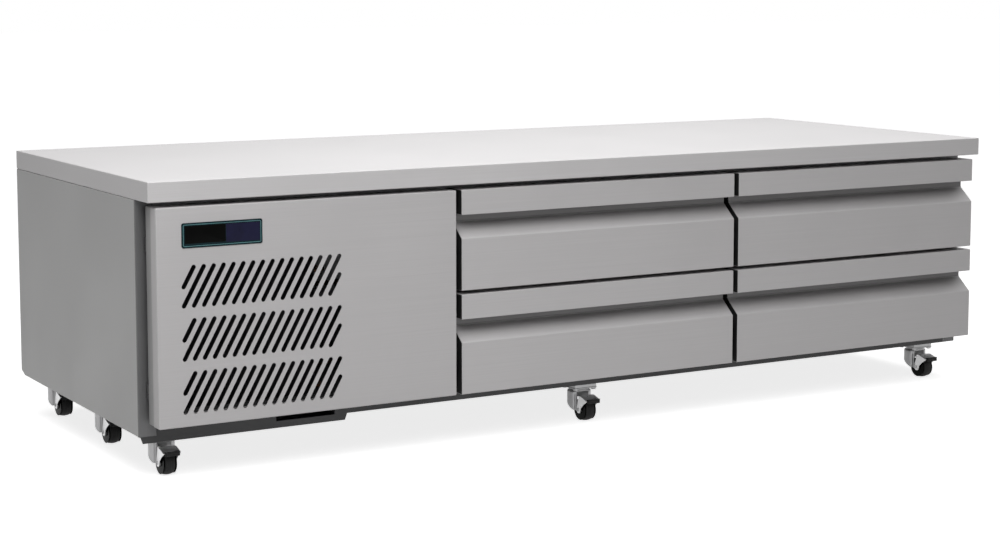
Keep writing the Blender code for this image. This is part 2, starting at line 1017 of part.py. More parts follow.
def make_shroud():
    """Sheet hood behind the coil with a round opening and a bar for the motor."""
    shroud = box(
        "fan_shroud",
        (coil_left, shroud_front, coil_bottom),
        (coil_right, shroud_back, coil_top),
        inner_steel,
    )
    hollow = box_tool(
        (
            (coil_left + shroud_sheet, shroud_front - overrun, coil_bottom + shroud_sheet),
            (coil_right - shroud_sheet, shroud_back - shroud_sheet, coil_top - shroud_sheet),
        )
    )
    opening = cylinder_tool(
        (fan_x, shroud_back - shroud_sheet - overrun, fan_z),
        "Y",
        shroud_opening_radius,
        shroud_sheet + 2 * overrun,
        40,
    )
    bar = box_tool(
        (
            (fan_x - motor_bar_width / 2, shroud_back - weld_overlap, coil_bottom),
            (fan_x + motor_bar_width / 2, shroud_back + motor_bar_sheet, coil_top),
        )
    )
    hole = cylinder_tool(
        (fan_x, shroud_back - overrun, fan_z),
        "Y",
        motor_shaft_radius + running_gap,
        motor_bar_sheet + 2 * overrun,
        16,
    )
    cut(shroud, hollow)
    cut(shroud, opening)
    join(shroud, bar)
    cut(shroud, hole)


def make_motor():
    """Fan motor bolted to the bar, with its shaft forward through the hood."""
    start = shroud_back + motor_bar_sheet + seat_gap
    body = cylinder_mesh(motor_radius, motor_length, 28)
    middle = Vector((fan_x, start + motor_length / 2, fan_z))
    motor = place("fan_motor", body, Matrix.Translation(middle) @ turn_to("Y"), black_enamel)
    shaft_start = fan_middle_y() - fan_hub_length / 2
    shaft_length = start - shaft_start + weld_overlap
    join(
        motor,
        cylinder_tool((fan_x, shaft_start, fan_z), "Y", motor_shaft_radius, shaft_length, 16),
    )


def fan_middle_y():
    return (shroud_front + shroud_back - shroud_sheet) / 2


def make_fan(name, centre, radius, hub_radius, hub_length, blade_width, carrier):
    """Axial fan: a bored hub with pitched sheet blades, turning about Y."""
    turn = turn_to("Y")
    hub = place(
        name,
        cylinder_mesh(hub_radius, hub_length, 20),
        Matrix.Translation(centre) @ turn,
        fin_aluminium,
        carrier,
    )
    shape = bmesh.new()
    root = hub_radius * fan_root_share
    size = Vector((radius - root, blade_width, fan_blade_sheet))
    for blade in range(fan_blade_count):
        angle = 2 * math.pi * blade / fan_blade_count
        matrix = (
            Matrix.Rotation(angle, 4, "Z")
            @ Matrix.Translation(((radius + root) / 2, 0, 0))
            @ Matrix.Rotation(math.radians(fan_pitch_degrees), 4, "X")
            @ Matrix.Diagonal(size.to_4d())
        )
        bmesh.ops.create_cube(shape, size=1, matrix=matrix)
    blades = bpy.data.meshes.new("blades")
    shape.to_mesh(blades)
    shape.free()
    join(hub, place_tool(blades, Matrix.Translation(centre) @ turn))
    bore_start = Vector(centre) - Vector((0, hub_length / 2 + overrun, 0))
    bore_radius = motor_shaft_radius + running_gap
    cut(hub, cylinder_tool(bore_start, "Y", bore_radius, hub_length + 2 * overrun, 16))


evaporator_x = left_bank_start + drawer_width / 2
evaporator_z = (base_top + ceiling_bottom) / 2


def make_evaporator():
    """Finned block on the back wall, with its fan motor's boss and shaft in front."""
    evaporator = box(
        "evaporator",
        (evaporator_x - evaporator_width / 2, evaporator_front, evaporator_z - evaporator_height / 2),
        (
            evaporator_x + evaporator_width / 2,
            inner_back - seat_gap,
            evaporator_z + evaporator_height / 2,
        ),
        fin_aluminium,
    )
    boss = cylinder_tool(
        (evaporator_x, boss_front, evaporator_z),
        "Y",
        evaporator_boss_radius,
        evaporator_boss_length + weld_overlap,
    )
    shaft_start = evaporator_fan_y - evaporator_hub_length / 2
    shaft = cylinder_tool(
        (evaporator_x, shaft_start, evaporator_z),
        "Y",
        motor_shaft_radius,
        boss_front - shaft_start + weld_overlap,
        16,
    )
    join(evaporator, boss)
    join(evaporator, shaft)


def castor_places():
    """Name, swivel axis and whether the castor stands under the machine tray."""
    left = -half_length + castor_side_inset
    right = half_length - castor_side_inset
    front = body_front + castor_front_inset
    back = body_back - castor_back_inset
    middle = (front + back) / 2
    return [
        ("front_left", left, front, True),
        ("middle_left", left, middle, True),
        ("back_left", left, back, True),
        ("front_middle", 0, front, False),
        ("back_middle", 0, back, False),
        ("front_right", right, front, False),
        ("back_right", right, back, False),
    ]


def make_castor_mount(name, across, along, under_tray):
    """Bolted top plate with the swivel head and kingpin; a packer fills the tray's height."""
    half = castor_plate / 2
    mount = box(
        f"{name}_mount",
        (across - half, along - half, plate_bottom),
        (across + half, along + half, plate_top),
        bright_zinc,
    )
    head = cylinder_tool(
        (across, along, head_bottom), "Z", head_radius, head_height + weld_overlap, 20
    )
    pin_bottom = crown_underside - running_gap
    pin = cylinder_tool(
        (across, along, pin_bottom), "Z", kingpin_radius, head_bottom - pin_bottom + weld_overlap, 12
    )
    pin_head = cylinder_tool(
        (across, along, pin_bottom - kingpin_head_height),
        "Z",
        kingpin_head_radius,
        kingpin_head_height + running_gap / 2,
        12,
    )
    join(mount, head)
    join(mount, pin)
    join(mount, pin_head)
    if not under_tray:
        packer = box_tool(
            (
                (across - half, along - half, plate_top - weld_overlap),
                (across + half, along + half, base_bottom - seat_gap),
            )
        )
        join(mount, packer)


def fork_side_outline():
    """The fork from the side, in (y, z): rear wall, slope to the axle eye, front edge."""
    axle_y = -castor_trail
    eye = arc((axle_y, wheel_radius), fork_eye_radius, -45, -180, 5)
    return [
        (-fork_front_reach, crown_top),
        (hood_radius + overrun, crown_top),
        (hood_radius + overrun, crown_top - fork_back_height),
        *eye,
    ]


def fork_plan_outline(half_width, radius, shoulder):
    """The fork's plan: straight legs that end in a round hood about the swivel axis."""
    front = -castor_trail - wheel_diameter
    lean = math.degrees(math.asin(shoulder / radius))
    leg_end = shoulder - hood_flare
    legs = [(-half_width, front), (half_width, front), (half_width, leg_end)]
    return legs + arc((0, 0), radius, lean, 180 - lean, 14) + [(-half_width, leg_end)]


def make_fork(name, across, along, carrier):
    """Pressed steel hood over the wheel, with the axle bolt through its legs."""
    side = prism_mesh([fork_side_outline()], 2 * hood_radius + 2 * overrun)
    fork = place(
        f"{name}_fork",
        side,
        Matrix.Translation((across, along, 0)) @ facing("YZ"),
        bright_zinc,
        carrier,
    )
    outer_plan = fork_plan_outline(fork_width / 2, hood_radius, -hood_shoulder)
    plan = prism_mesh([outer_plan], 2 * crown_top)
    at_floor = Matrix.Translation((across, along, 0))
    keep_common(fork, place_tool(plan, at_floor))
    inner_half = fork_width / 2 - fork_sheet
    inner_plan = fork_plan_outline(
        inner_half, hood_radius - fork_sheet, fork_sheet - hood_shoulder
    )
    inner = prism_mesh([inner_plan], 2 * crown_underside)
    cut(fork, place_tool(inner, at_floor))
    hole_start = crown_underside - overrun
    hole_length = fork_crown + 2 * overrun
    hole_radius = kingpin_radius + running_gap
    cut(fork, cylinder_tool((across, along, hole_start), "Z", hole_radius, hole_length, 12))
    axle_half = fork_width / 2 + running_gap + brake_sheet + axle_end
    axle_start = (across - axle_half, along - castor_trail, wheel_radius)
    join(fork, cylinder_tool(axle_start, "X", axle_radius, 2 * axle_half, 12))


def wheel_profile():
    """Half section of the wheel as a closed loop, from the outer top down."""
    bore = axle_radius + running_gap
    hub = fork_width / 2 - fork_sheet - running_gap
    tread = wheel_width / 2
    outer = [
        (wheel_hub_radius, hub),
        (wheel_hub_radius, tread),
        (wheel_radius - wheel_shoulder, tread),
        (wheel_radius, tread - wheel_shoulder),
    ]
    lower = [(radius, -height) for radius, height in reversed(outer)]
    return [(bore, hub)] + outer + lower + [(bore, -hub), (bore, hub)]


def make_wheel(name, across, along, carrier):
    matrix = Matrix.Translation((across, along - castor_trail, wheel_radius)) @ turn_to("X")
    wheel = place(f"{name}_wheel", turned_mesh(wheel_profile()), matrix, black_rubber, carrier)
    weld_ends(wheel.data)
    turn_profile(wheel, 20)


def weld_ends(mesh):
    """Merge a closed profile's first and last point."""
    shape = bmesh.new()
    shape.from_mesh(mesh)
    bmesh.ops.remove_doubles(shape, verts=shape.verts, dist=merge_distance)
    shape.to_mesh(mesh)
    shape.free()


def brake_side_outline():
    """Brake arm from the side, in (y, z) about the axle: web line, back edge and eye."""
    top = wheel_radius + brake_wheel_gap + brake_sheet
    tip = top - brake_web_slope
    eye = arc((0, 0), brake_eye_radius, 0, -165, 6)
    return [
        (-brake_web_front, tip),
        (-brake_web_bend, top),
        (-brake_web_back, top),
        *eye,
        (-brake_web_front, tip - brake_arm_height),
    ]


def under_web_outline():
    """All that lies under the brake's web, in (y, z) about the axle."""
    under = wheel_radius + brake_wheel_gap
    slope = brake_web_slope / (brake_web_front - brake_web_bend)
    reach = brake_web_front + overrun
    return [
        (-reach, under - slope * (reach - brake_web_bend)),
        (-reach, -wheel_diameter),
        (wheel_diameter, -wheel_diameter),
        (wheel_diameter, under),
        (-brake_web_bend, under),
    ]


def pedal_outline():
    """Pedal pad from the side, in (y, z) about the axle, in front of the wheel."""
    return [
        (-pedal_root, pedal_low + pedal_rise),
        (-pedal_root, pedal_high - pedal_rise),
        (-pedal_reach, pedal_high),
        (-pedal_reach, pedal_low),
    ]


def make_brake(name, across, along, carrier):
    """Brake lever: two arms on the axle outside the fork, a web and a foot pedal."""
    axle = Matrix.Translation((across, along - castor_trail, wheel_radius))
    inner_width = fork_width + 2 * running_gap
    outer_width = inner_width + 2 * brake_sheet
    brake = place(
        f"{name}_brake",
        prism_mesh([brake_side_outline()], outer_width),
        axle @ facing("YZ"),
        bright_zinc,
        carrier,
    )
    hollow = prism_mesh([under_web_outline()], inner_width)
    cut(brake, place_tool(hollow, axle @ facing("YZ")))
    start = (across - outer_width, along - castor_trail, wheel_radius)
    bore_radius = axle_radius + running_gap
    cut(brake, cylinder_tool(start, "X", bore_radius, 2 * outer_width, 12))
    pedal = prism_mesh([pedal_outline()], pedal_width)
    join(brake, place_tool(pedal, axle @ facing("YZ")))


def make_castor(place_name, across, along, under_tray):
    name = f"{place_name}_castor"
    swivel = axis_empty(f"{name}_swivel_axis", (across, along, plate_bottom))
    axle = axis_empty(f"{name}_axle_axis", (across, along - castor_trail, wheel_radius))
    make_castor_mount(name, across, along, under_tray)
    make_fork(name, across, along, swivel)
    make_wheel(name, across, along, axle)
    make_brake(name, across, along, axle)


clear_scene()
satin_steel = finish("satin_steel", (0.56, 0.55, 0.54), 0.38, 0.9)
side_steel = finish("side_steel", (0.48, 0.48, 0.48), 0.42, 0.9)
base_steel = finish("base_steel", (0.20, 0.20, 0.20), 0.5, 0.8)
inner_steel = finish("inner_steel", (0.50, 0.50, 0.51), 0.45, 0.9)
bright_steel = finish("bright_steel", (0.66, 0.66, 0.67), 0.3, 0.95)
bright_zinc = finish("bright_zinc", (0.74, 0.74, 0.75), 0.28, 1.0)
fin_aluminium = finish("fin_aluminium", (0.70, 0.71, 0.72), 0.4, 0.9)
black_enamel = finish("black_enamel", (0.02, 0.02, 0.02), 0.35, 0.0)
black_rubber = finish("black_rubber", (0.015, 0.015, 0.015), 0.6, 0.0)
dark_plastic = finish("dark_plastic", (0.03, 0.05, 0.08), 0.3, 0.0)

make_worktop()
make_sides()
make_back()
make_base()
make_ceiling()
make_bulkhead()
make_front_frame()
make_tray()

panel_axis = axis_empty("vent_panel_axis", (hinge_x, hinge_y, front_bottom))
make_vent_panel(panel_axis)
make_controller(panel_axis)

for bank_name in ("left", "right"):
    make_rack(bank_name)
    for level_name in ("upper", "lower"):
        travel = axis_empty(
            f"{level_name}_{bank_name}_travel",
            (bank_starts[bank_name] + drawer_width / 2, front_back, drawer_middle),
        )
        make_drawer(bank_name, level_name, travel)

make_compressor()
make_coil()
make_shroud()
make_motor()
condenser_fan_centre = (fan_x, fan_middle_y(), fan_z)
condenser_fan_axis = axis_empty("condenser_fan_axis", condenser_fan_centre)
make_fan(
    "condenser_fan",
    condenser_fan_centre,
    shroud_opening_radius - fan_tip_gap,
    fan_hub_radius,
    fan_hub_length,
    fan_blade_width,
    condenser_fan_axis,
)
make_evaporator()
evaporator_fan_centre = (evaporator_x, evaporator_fan_y, evaporator_z)
evaporator_fan_axis = axis_empty("evaporator_fan_axis", evaporator_fan_centre)
make_fan(
    "evaporator_fan",
    evaporator_fan_centre,
    evaporator_fan_radius,
    evaporator_hub_radius,
    evaporator_hub_length,
    evaporator_blade_width,
    evaporator_fan_axis,
)

for castor_place in castor_places():
    make_castor(*castor_place)
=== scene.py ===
"""Looks of a refrigerated chef base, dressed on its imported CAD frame.

Metres; X runs along the counter from the machine end, Y to the back and Z up.
"""

from math import cos, pi, radians, sin

import bmesh
import bpy
import numpy as np
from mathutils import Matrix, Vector, geometry


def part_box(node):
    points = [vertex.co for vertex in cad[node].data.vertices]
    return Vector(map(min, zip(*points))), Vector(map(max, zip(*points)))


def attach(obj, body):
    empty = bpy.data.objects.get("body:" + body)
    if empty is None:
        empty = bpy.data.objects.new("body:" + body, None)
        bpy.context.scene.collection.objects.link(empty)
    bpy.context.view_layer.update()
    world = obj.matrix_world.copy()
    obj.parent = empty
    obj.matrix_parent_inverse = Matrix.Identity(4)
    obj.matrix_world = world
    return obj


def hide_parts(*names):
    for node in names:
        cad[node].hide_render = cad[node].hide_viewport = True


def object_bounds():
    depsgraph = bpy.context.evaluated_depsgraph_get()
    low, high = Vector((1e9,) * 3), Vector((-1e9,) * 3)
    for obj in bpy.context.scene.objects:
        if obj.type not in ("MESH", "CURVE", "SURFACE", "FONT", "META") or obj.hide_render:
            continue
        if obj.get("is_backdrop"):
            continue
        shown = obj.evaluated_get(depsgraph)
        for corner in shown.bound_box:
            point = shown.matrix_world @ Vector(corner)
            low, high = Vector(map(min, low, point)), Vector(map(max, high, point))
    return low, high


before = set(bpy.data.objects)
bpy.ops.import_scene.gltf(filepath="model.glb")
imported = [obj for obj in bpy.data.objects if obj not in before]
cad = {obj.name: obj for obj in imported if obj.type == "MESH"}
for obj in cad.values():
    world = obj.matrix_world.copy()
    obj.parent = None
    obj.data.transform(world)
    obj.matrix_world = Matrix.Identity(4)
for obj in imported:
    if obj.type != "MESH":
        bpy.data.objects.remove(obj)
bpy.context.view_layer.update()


# Base panel and machine tray: folded steel under the cabinet, near-black as painted shade,
# since it lies in the cabinet's shadow. The tray is a shallow pan screwed below the open
# floor of the machine compartment.

def shade(material, kind, sockets, **settings):
    """Add a node to a material; a socket takes a number, a colour or another node's output."""
    new = material.node_tree.nodes.new("ShaderNode" + kind)
    for key, value in settings.items():
        setattr(new, key, value)
    for key, value in sockets.items():
        if isinstance(value, bpy.types.NodeSocket):
            material.node_tree.links.new(value, new.inputs[key])
        else:
            new.inputs[key].default_value = value
    return new


def fresh_material(name):
    """A material with nothing in it but its Principled shader."""
    material = bpy.data.materials.new(name)
    material.use_nodes = True
    return material, material.node_tree.nodes["Principled BSDF"]


def stretch(material, noise, low, high):
    """The middle of a noise's values, 0.3 to 0.7, stretched to run from low to high."""
    return shade(material, "MapRange", {"Value": noise.outputs[0], "From Min": 0.3, "From Max": 0.7,
                                        "To Min": low, "To Max": high}).outputs[0]


def coat(material, skin, mixer, colour, shades, rough, relief, strength, distance):
    """Give the shader its colour, mixed between two shades of it, its roughness and its bump."""
    dark, light = [(*[c * by for c in colour], 1) for by in shades]
    tint = shade(material, "Mix", {0: mixer, 6: dark, 7: light}, data_type="RGBA")
    bump = shade(material, "Bump", {"Height": relief.outputs[0], "Strength": strength, "Distance": distance})
    for output, socket in ((tint.outputs[2], "Base Color"), (rough, "Roughness"), (bump.outputs[0], "Normal")):
        material.node_tree.links.new(output, skin.inputs[socket])
    return material


def brushed_steel(name, colour, roughness, grain, metallic=1.0, streak=0.05):
    """Sheet steel with fine brushing and broad faint smears.

    grain says how many streaks there are in a metre along X, Y and Z, few along the
    brushing and hundreds across it. Streaks and smears both move the roughness, the
    streaks also stand up as a very low bump, and the two together tint the steel a little.
    """
    smear = 0.05
    material, skin = fresh_material(name)
    place = shade(material, "TexCoord", {}).outputs["Object"]
    along = shade(material, "Mapping", {"Vector": place, "Scale": grain}).outputs[0]
    streaks = shade(material, "TexNoise", {"Vector": along, "Scale": 1.0, "Detail": 3.0, "Roughness": 0.6})
    smears = shade(material, "TexNoise", {"Vector": place, "Scale": 4.0, "Detail": 3.0, "Roughness": 0.55})
    fine = stretch(material, streaks, roughness - streak, roughness + streak)
    broad = stretch(material, smears, -smear, smear)
    rough = shade(material, "Math", {0: fine, 1: broad}, operation="ADD").outputs[0]
    weight = shade(material, "Math", {0: streaks.outputs[0], 1: smears.outputs[0]}, operation="MULTIPLY")
    spread = shade(material, "MapRange", {"Value": weight.outputs[0], "From Min": 0.12, "From Max": 0.38})
    skin.inputs["Metallic"].default_value = metallic
    return coat(material, skin, spread.outputs[0], colour, (0.965, 1.035), rough, streaks, 0.05, 0.0004)


def clad(node, *materials):
    """Give a CAD node kept as it is its finish."""
    cad[node].data.materials.clear()
    for material in materials:
        cad[node].data.materials.append(material)


grain_along_x = (3, 420, 420)
grain_along_y = (420, 3, 420)
grain_along_z = (420, 420, 3)
# The base steel is near-black as painted shade: it stands for the shadow under the cabinet.
base_steel = brushed_steel("base_steel", (0.035, 0.035, 0.036), 0.5, grain_along_x, metallic=0.3)
clad("base_panel", base_steel)
clad("machine_tray", base_steel)


# Cabinet ends: insulated panels skinned in brushed steel, with small pressed edges. Their
# steel is darker than the fronts' as painted shade, and the strip along each front edge is
# dark grey as painted shade. The left one carries the lower hinge barrels and pins of the
# vent panel on its front edge.

def soften(corners, radius, steps=4):
    """Round the corners of a closed outline, given anticlockwise.

    Unit vectors a and b point from a corner to its neighbours, with the angle w between
    them. The arc's centre lies r / sin(w / 2) along their bisector, the arc touches the
    sides at r / tan(w / 2), and its points swing evenly from one touch to the other.
    Returns the points and their outward normals.
    """
    corners = np.asarray(corners, float)
    radius = np.broadcast_to(np.asarray(radius, float), len(corners))[:, None]
    a = np.roll(corners, 1, axis=0) - corners
    b = np.roll(corners, -1, axis=0) - corners
    a /= np.linalg.norm(a, axis=1, keepdims=True)
    b /= np.linalg.norm(b, axis=1, keepdims=True)
    half = np.arccos(np.clip((a * b).sum(1), -1, 1))[:, None] / 2
    middle = (a + b) / np.linalg.norm(a + b, axis=1, keepdims=True)
    centre = corners + middle * radius / np.sin(half)
    first = corners + a * radius / np.tan(half) - centre
    last = corners + b * radius / np.tan(half) - centre
    turn = (pi - 2 * half)[:, None]
    share = np.linspace(0, 1, steps + 1)[None, :, None]
    arm = (np.sin((1 - share) * turn) * first[:, None] + np.sin(share * turn) * last[:, None]) / np.sin(turn)
    side = np.sign(a[:, 1] * b[:, 0] - a[:, 0] * b[:, 1])[:, None, None]
    points = (centre[:, None] + arm).reshape(-1, 2)
    return points, (side * arm / radius[:, None]).reshape(-1, 2)


def ring_quads(rings, around, closed=True):
    """Quads between neighbouring rings of points, each ring joined to itself if closed."""
    i = np.arange(rings - 1)[:, None] * around
    j = np.arange(around if closed else around - 1)[None]
    k = (j + 1) % around
    return np.stack([i + j, i + k, i + k + around, i + j + around], axis=-1).reshape(-1, 4).tolist()


def tube_faces(rings, around):
    """Faces of a tube made of rings, with a flat face at each end."""
    return ring_quads(rings, around) + [list(range(around)), list(range((rings - 1) * around, rings * around))]


def carry(corners, radius, start, end, edge, axes, steps=3):
    """Carry an outline along a straight line from start to end and round off both ends.

    q runs from a right angle at the flat end to zero at the side; there the outline is
    drawn in by edge * (1 - cos q) and stands edge * (1 - sin q) inside the end. axes names
    the outline's two axes and then the line's. Returns points, faces and normals.
    """
    outline, out = soften(corners, radius)
    q = np.linspace(pi / 2, 0, steps + 1)
    inset = np.concatenate([edge * (1 - np.cos(q)), edge * (1 - np.cos(q))[::-1]])
    back = edge * (1 - np.sin(q))
    along = np.concatenate([start + back, end - back[::-1]])
    tilt = np.concatenate([-np.sin(q), np.sin(q)[::-1]])
    rings, around = len(along), len(outline)
    points = np.empty((rings, around, 3))
    normals = np.empty((rings, around, 3))
    points[..., axes[:2]] = outline[None] - out[None] * inset[:, None, None]
    points[..., axes[2]] = along[:, None]
    normals[..., axes[:2]] = out[None] * np.cos(np.arcsin(tilt))[:, None, None]
    normals[..., axes[2]] = tilt[:, None]
    return points.reshape(-1, 3), tube_faces(rings, around), normals.reshape(-1, 3)


def add_piece(name, points, faces, material, normals=None, bend=40):
    """Put a worked-out closed surface into the scene, its faces turned outwards.

    With normals the curves shade exactly as worked out; without, edges sharper than bend
    degrees stay crisp.
    """
    mesh = bpy.data.meshes.new(name)
    mesh.from_pydata(np.asarray(points, float).reshape(-1, 3).tolist(), [], faces)
    shape = bmesh.new()
    shape.from_mesh(mesh)
    bmesh.ops.recalc_face_normals(shape, faces=shape.faces)
    shape.to_mesh(mesh)
    shape.free()
    mesh.polygons.foreach_set("use_smooth", np.ones(len(mesh.polygons), bool))
    if normals is None:
        mesh.set_sharp_from_angle(angle=radians(bend))
    else:
        mesh.normals_split_custom_set_from_vertices(np.asarray(normals, float).reshape(-1, 3).tolist())
    piece = bpy.data.objects.new(name, mesh)
    bpy.context.scene.collection.objects.link(piece)
    mesh.materials.append(material)
    return piece


def turned(profile, centre, axis, segments=24):
    """Turn a closed half section about an axis: each (radius, height) goes round in segments."""
    profile = np.asarray(profile, float)
    angle = np.linspace(0, 2 * pi, segments, endpoint=False)
    points = np.empty((len(profile), segments, 3))
    points[..., (axis + 1) % 3] = centre[(axis + 1) % 3] + profile[:, :1] * np.cos(angle)
    points[..., (axis + 2) % 3] = centre[(axis + 2) % 3] + profile[:, :1] * np.sin(angle)
    points[..., axis] = centre[axis] + profile[:, 1:]
    return points.reshape(-1, 3)


def gather(*parts):
    """Join several (points, faces) into one, the later faces renumbered."""
    points, faces, count = [], [], 0
    for some, more in parts:
        some = np.asarray(some).reshape(-1, 3)
        points.append(some)
        faces += [[v + count for v in face] for face in more]
        count += len(some)
    return np.concatenate(points), faces


def solid_of_turning(profile, centre, axis, segments=24):
    """A turned piece whose half section starts and ends beside the axis, both ends filled flat."""
    return turned(profile, centre, axis, segments), tube_faces(len(profile), segments)


def torus_quads(rings, around):
    """Quads over rings of points that close on themselves both ways."""
    i = np.arange(rings)[:, None] * around
    j = np.arange(around)[None]
    k, below = (j + 1) % around, np.roll(i, -1, axis=0)
    return np.stack([i + j, i + k, below + k, below + j], axis=-1).reshape(-1, 4).tolist()


def bar(low, high, edge, axis=2):
    """A straight bar between two corners, its four long edges rounded, along an axis."""
    a, b = [k for k in (0, 1, 2) if k != axis]
    corners = [(low[a], low[b]), (high[a], low[b]), (high[a], high[b]), (low[a], high[b])]
    return carry(corners, edge, low[axis], high[axis], edge / 2, (a, b, axis), 1)[:2]


def enamel(name, colour, roughness):
    """Sprayed enamel: one colour with a fine orange-peel bump and slightly uneven gloss."""
    material, skin = fresh_material(name)
    place = shade(material, "TexCoord", {}).outputs["Object"]
    peel = shade(material, "TexNoise", {"Vector": place, "Scale": 900.0, "Detail": 2.0})
    cloud = shade(material, "TexNoise", {"Vector": place, "Scale": 18.0, "Detail": 3.0})
    rough = stretch(material, cloud, roughness - 0.05, roughness + 0.07)
    return coat(material, skin, cloud.outputs[0], colour, (0.8, 1.25), rough, peel, 0.15, 0.0003)


# The ends' steel is darker than the fronts' satin steel: painted shade on the cabinet's sides.
side_steel = brushed_steel("side_steel", (0.389, 0.387, 0.385), 0.46, grain_along_z, metallic=0.2)
painted_shade_trim_steel = brushed_steel("painted_shade_trim_steel", (0.13, 0.13, 0.132), 0.5, grain_along_z, metallic=0.5)
black_enamel = enamel("black_enamel", (0.012, 0.012, 0.013), 0.35)
end_front, trim = -0.3375, 0.0025
cut_length, cut_height = 0.024, 0.009
fold_radius, pressed_edge = 0.0022, 0.0018
for name in ("left_side_panel", "right_side_panel"):
    low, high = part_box(name)
    corners = [(end_front + trim, low.z), (high.y - cut_length, low.z), (high.y, low.z + cut_height),
               (high.y, high.z), (end_front + trim, high.z)]
    points, faces, normals = carry(corners, fold_radius, low.x, high.x, pressed_edge, (1, 2, 0))
    side = add_piece(name + "_skin", points, faces, side_steel, normals)
    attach(side, "cabinet")
    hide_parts(name)
    # The strip along the front edge is dark grey as painted shade, for the shade between the worktop, the fronts and
    # the end.
    strip = bar((low.x, end_front, low.z), (high.x, end_front + 2 * trim, high.z), 0.0008)
    edge = add_piece(name + "_trim", *strip, painted_shade_trim_steel)
    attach(edge, "cabinet")

hinge_x, hinge_y, leaf_back = -1.030, -0.3435, -0.3370
barrel, pin_radius, half_leaf = 0.004, 0.002, 0.0015
hinge_bottoms = (("lower", 0.1740), ("upper", 0.4610))
for place, start in hinge_bottoms:
    bottom = start - 0.0106
    loop = [(0.0032, 0), (barrel, 0.0008), (barrel, 0.0092), (0.0032, 0.010), (pin_radius, 0.010),
            (pin_radius, 0.029), (0.0012, 0.0300)]
    knuckle = solid_of_turning(loop, (hinge_x, hinge_y, bottom), 2, 16)
    leaf = bar((hinge_x - half_leaf, hinge_y + 0.001, bottom),
               (hinge_x + half_leaf, leaf_back, bottom + 0.010), 0.0003)
    pin = add_piece(f"hinge_pin_{place}", *gather(knuckle, leaf), black_enamel)
    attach(pin, "cabinet")


# Back, ceiling, bulkhead and front frame: the insulated body behind the fronts, skinned in
# plain steel and riveted together; the back takes the ends' darker steel, painted shade. The
# gaskets seal on the frame, which is coloured black as painted shade, since it lies in the
# dark behind the fronts.

inner_steel = brushed_steel("inner_steel", (0.20, 0.20, 0.205), 0.48, grain_along_x, metallic=0.6)
bright_zinc = brushed_steel("bright_zinc", (0.80, 0.80, 0.805), 0.34, (90, 90, 90), metallic=0.7, streak=0.08)
# This zinc is darker than the bright zinc as painted shade, for the castors' hoods and mounts in the cabinet's shadow.
painted_shade_zinc = brushed_steel("painted_shade_zinc", (0.45, 0.45, 0.455), 0.42, (90, 90, 90), metallic=0.6, streak=0.08)
# The back panel takes the ends' darker steel, painted shade.
clad("back_panel", side_steel)
clad("ceiling_panel", inner_steel)
clad("machine_bulkhead", inner_steel)
# The frame's black is painted shade for the dark behind the fronts.
clad("front_frame", black_enamel)
low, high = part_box("back_panel")
head_radius = 0.0046
dome = [(head_radius * sin(q), high.y - 0.0021 + 0.0020 * cos(q)) for q in (pi / 2, 1.1, 0.7, 0.4)]
head = [(head_radius, high.y - 0.0030), *dome, (0.0014, high.y - 0.0007), (0.0012, high.y - 0.0014)]
screws = [solid_of_turning(head, (x, 0, z), 1, 12) for z in (low.z + 0.014, high.z - 0.012)
          for x in np.linspace(low.x + 0.012, high.x - 0.012, 9)]
row = add_piece("back_panel_screws", *gather(*screws), bright_zinc)
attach(row, "cabinet")


# Condenser: aluminium fins on copper tubes between folded end plates, all sprayed black,
# standing on the front sill. The tubes leave the end plates in return bends.

def blocks(lows, highs):
    """Many plain plates at once, each between its two corners."""
    lows, highs = np.asarray(lows, float), np.asarray(highs, float)
    pick = np.array([(0, 0, 0), (1, 0, 0), (1, 1, 0), (0, 1, 0), (0, 0, 1), (1, 0, 1), (1, 1, 1), (0, 1, 1)])
    points = lows[:, None] + (highs - lows)[:, None] * pick
    sides = np.array([(0, 3, 2, 1), (4, 5, 6, 7), (0, 1, 5, 4), (1, 2, 6, 5), (2, 3, 7, 6), (3, 0, 4, 7)])
    faces = sides[None] + 8 * np.arange(len(lows))[:, None, None]
    return points.reshape(-1, 3), faces.reshape(-1, 4).tolist()


def pipe(path, radius, around=12):
    """A round tube along a smooth path, with flat ends.

    At each place the circle stands square to the path; its zero direction is the last
    one's, made square again, so the tube doesn't twist.
    """
    path = np.asarray(path, float)
    ahead = np.gradient(path, axis=0)
    ahead /= np.linalg.norm(ahead, axis=1, keepdims=True)
    side = np.cross(ahead[0], (0.31, 0.52, 0.79))
    angle = np.linspace(0, 2 * pi, around, endpoint=False)[:, None]
    rings = []
    for place, way in zip(path, ahead):
        side = side - way * side.dot(way)
        side /= np.linalg.norm(side)
        rings.append(place + radius * (np.cos(angle) * side + np.sin(angle) * np.cross(way, side)))
    return np.concatenate(rings), tube_faces(len(path), around)


def rounded_path(stops, radius, steps=6):
    """A path through straight runs, each corner turned in a circular arc."""
    stops = np.asarray(stops, float)
    path = [stops[0]]
    for before, corner, after in zip(stops, stops[1:], stops[2:]):
        a, b = before - corner, after - corner
        a, b = a / np.linalg.norm(a), b / np.linalg.norm(b)
        half = np.arccos(np.clip(a.dot(b), -1, 1)) / 2
        centre = corner + (a + b) / np.linalg.norm(a + b) * radius / sin(half)
        first = corner + a * radius / np.tan(half) - centre
        last = corner + b * radius / np.tan(half) - centre
        turn = pi - 2 * half
        for share in np.linspace(0, 1, steps + 1):
            path.append(centre + (sin((1 - share) * turn) * first + sin(share * turn) * last) / sin(turn))
    return np.array(path + [stops[-1]])


def finned(low, high, pitch, margin):
    """Fins across a block at an even pitch, a margin short of its front, back, top and bottom."""
    half_fin = 0.0002
    x = np.arange(low[0] + pitch, high[0] - pitch / 2, pitch)
    lows = np.stack([x - half_fin, np.full(len(x), low[1] + margin), np.full(len(x), low[2] + margin)], axis=1)
    highs = np.stack([x + half_fin, np.full(len(x), high[1] - margin), np.full(len(x), high[2] - margin)], axis=1)
    return blocks(lows, highs)


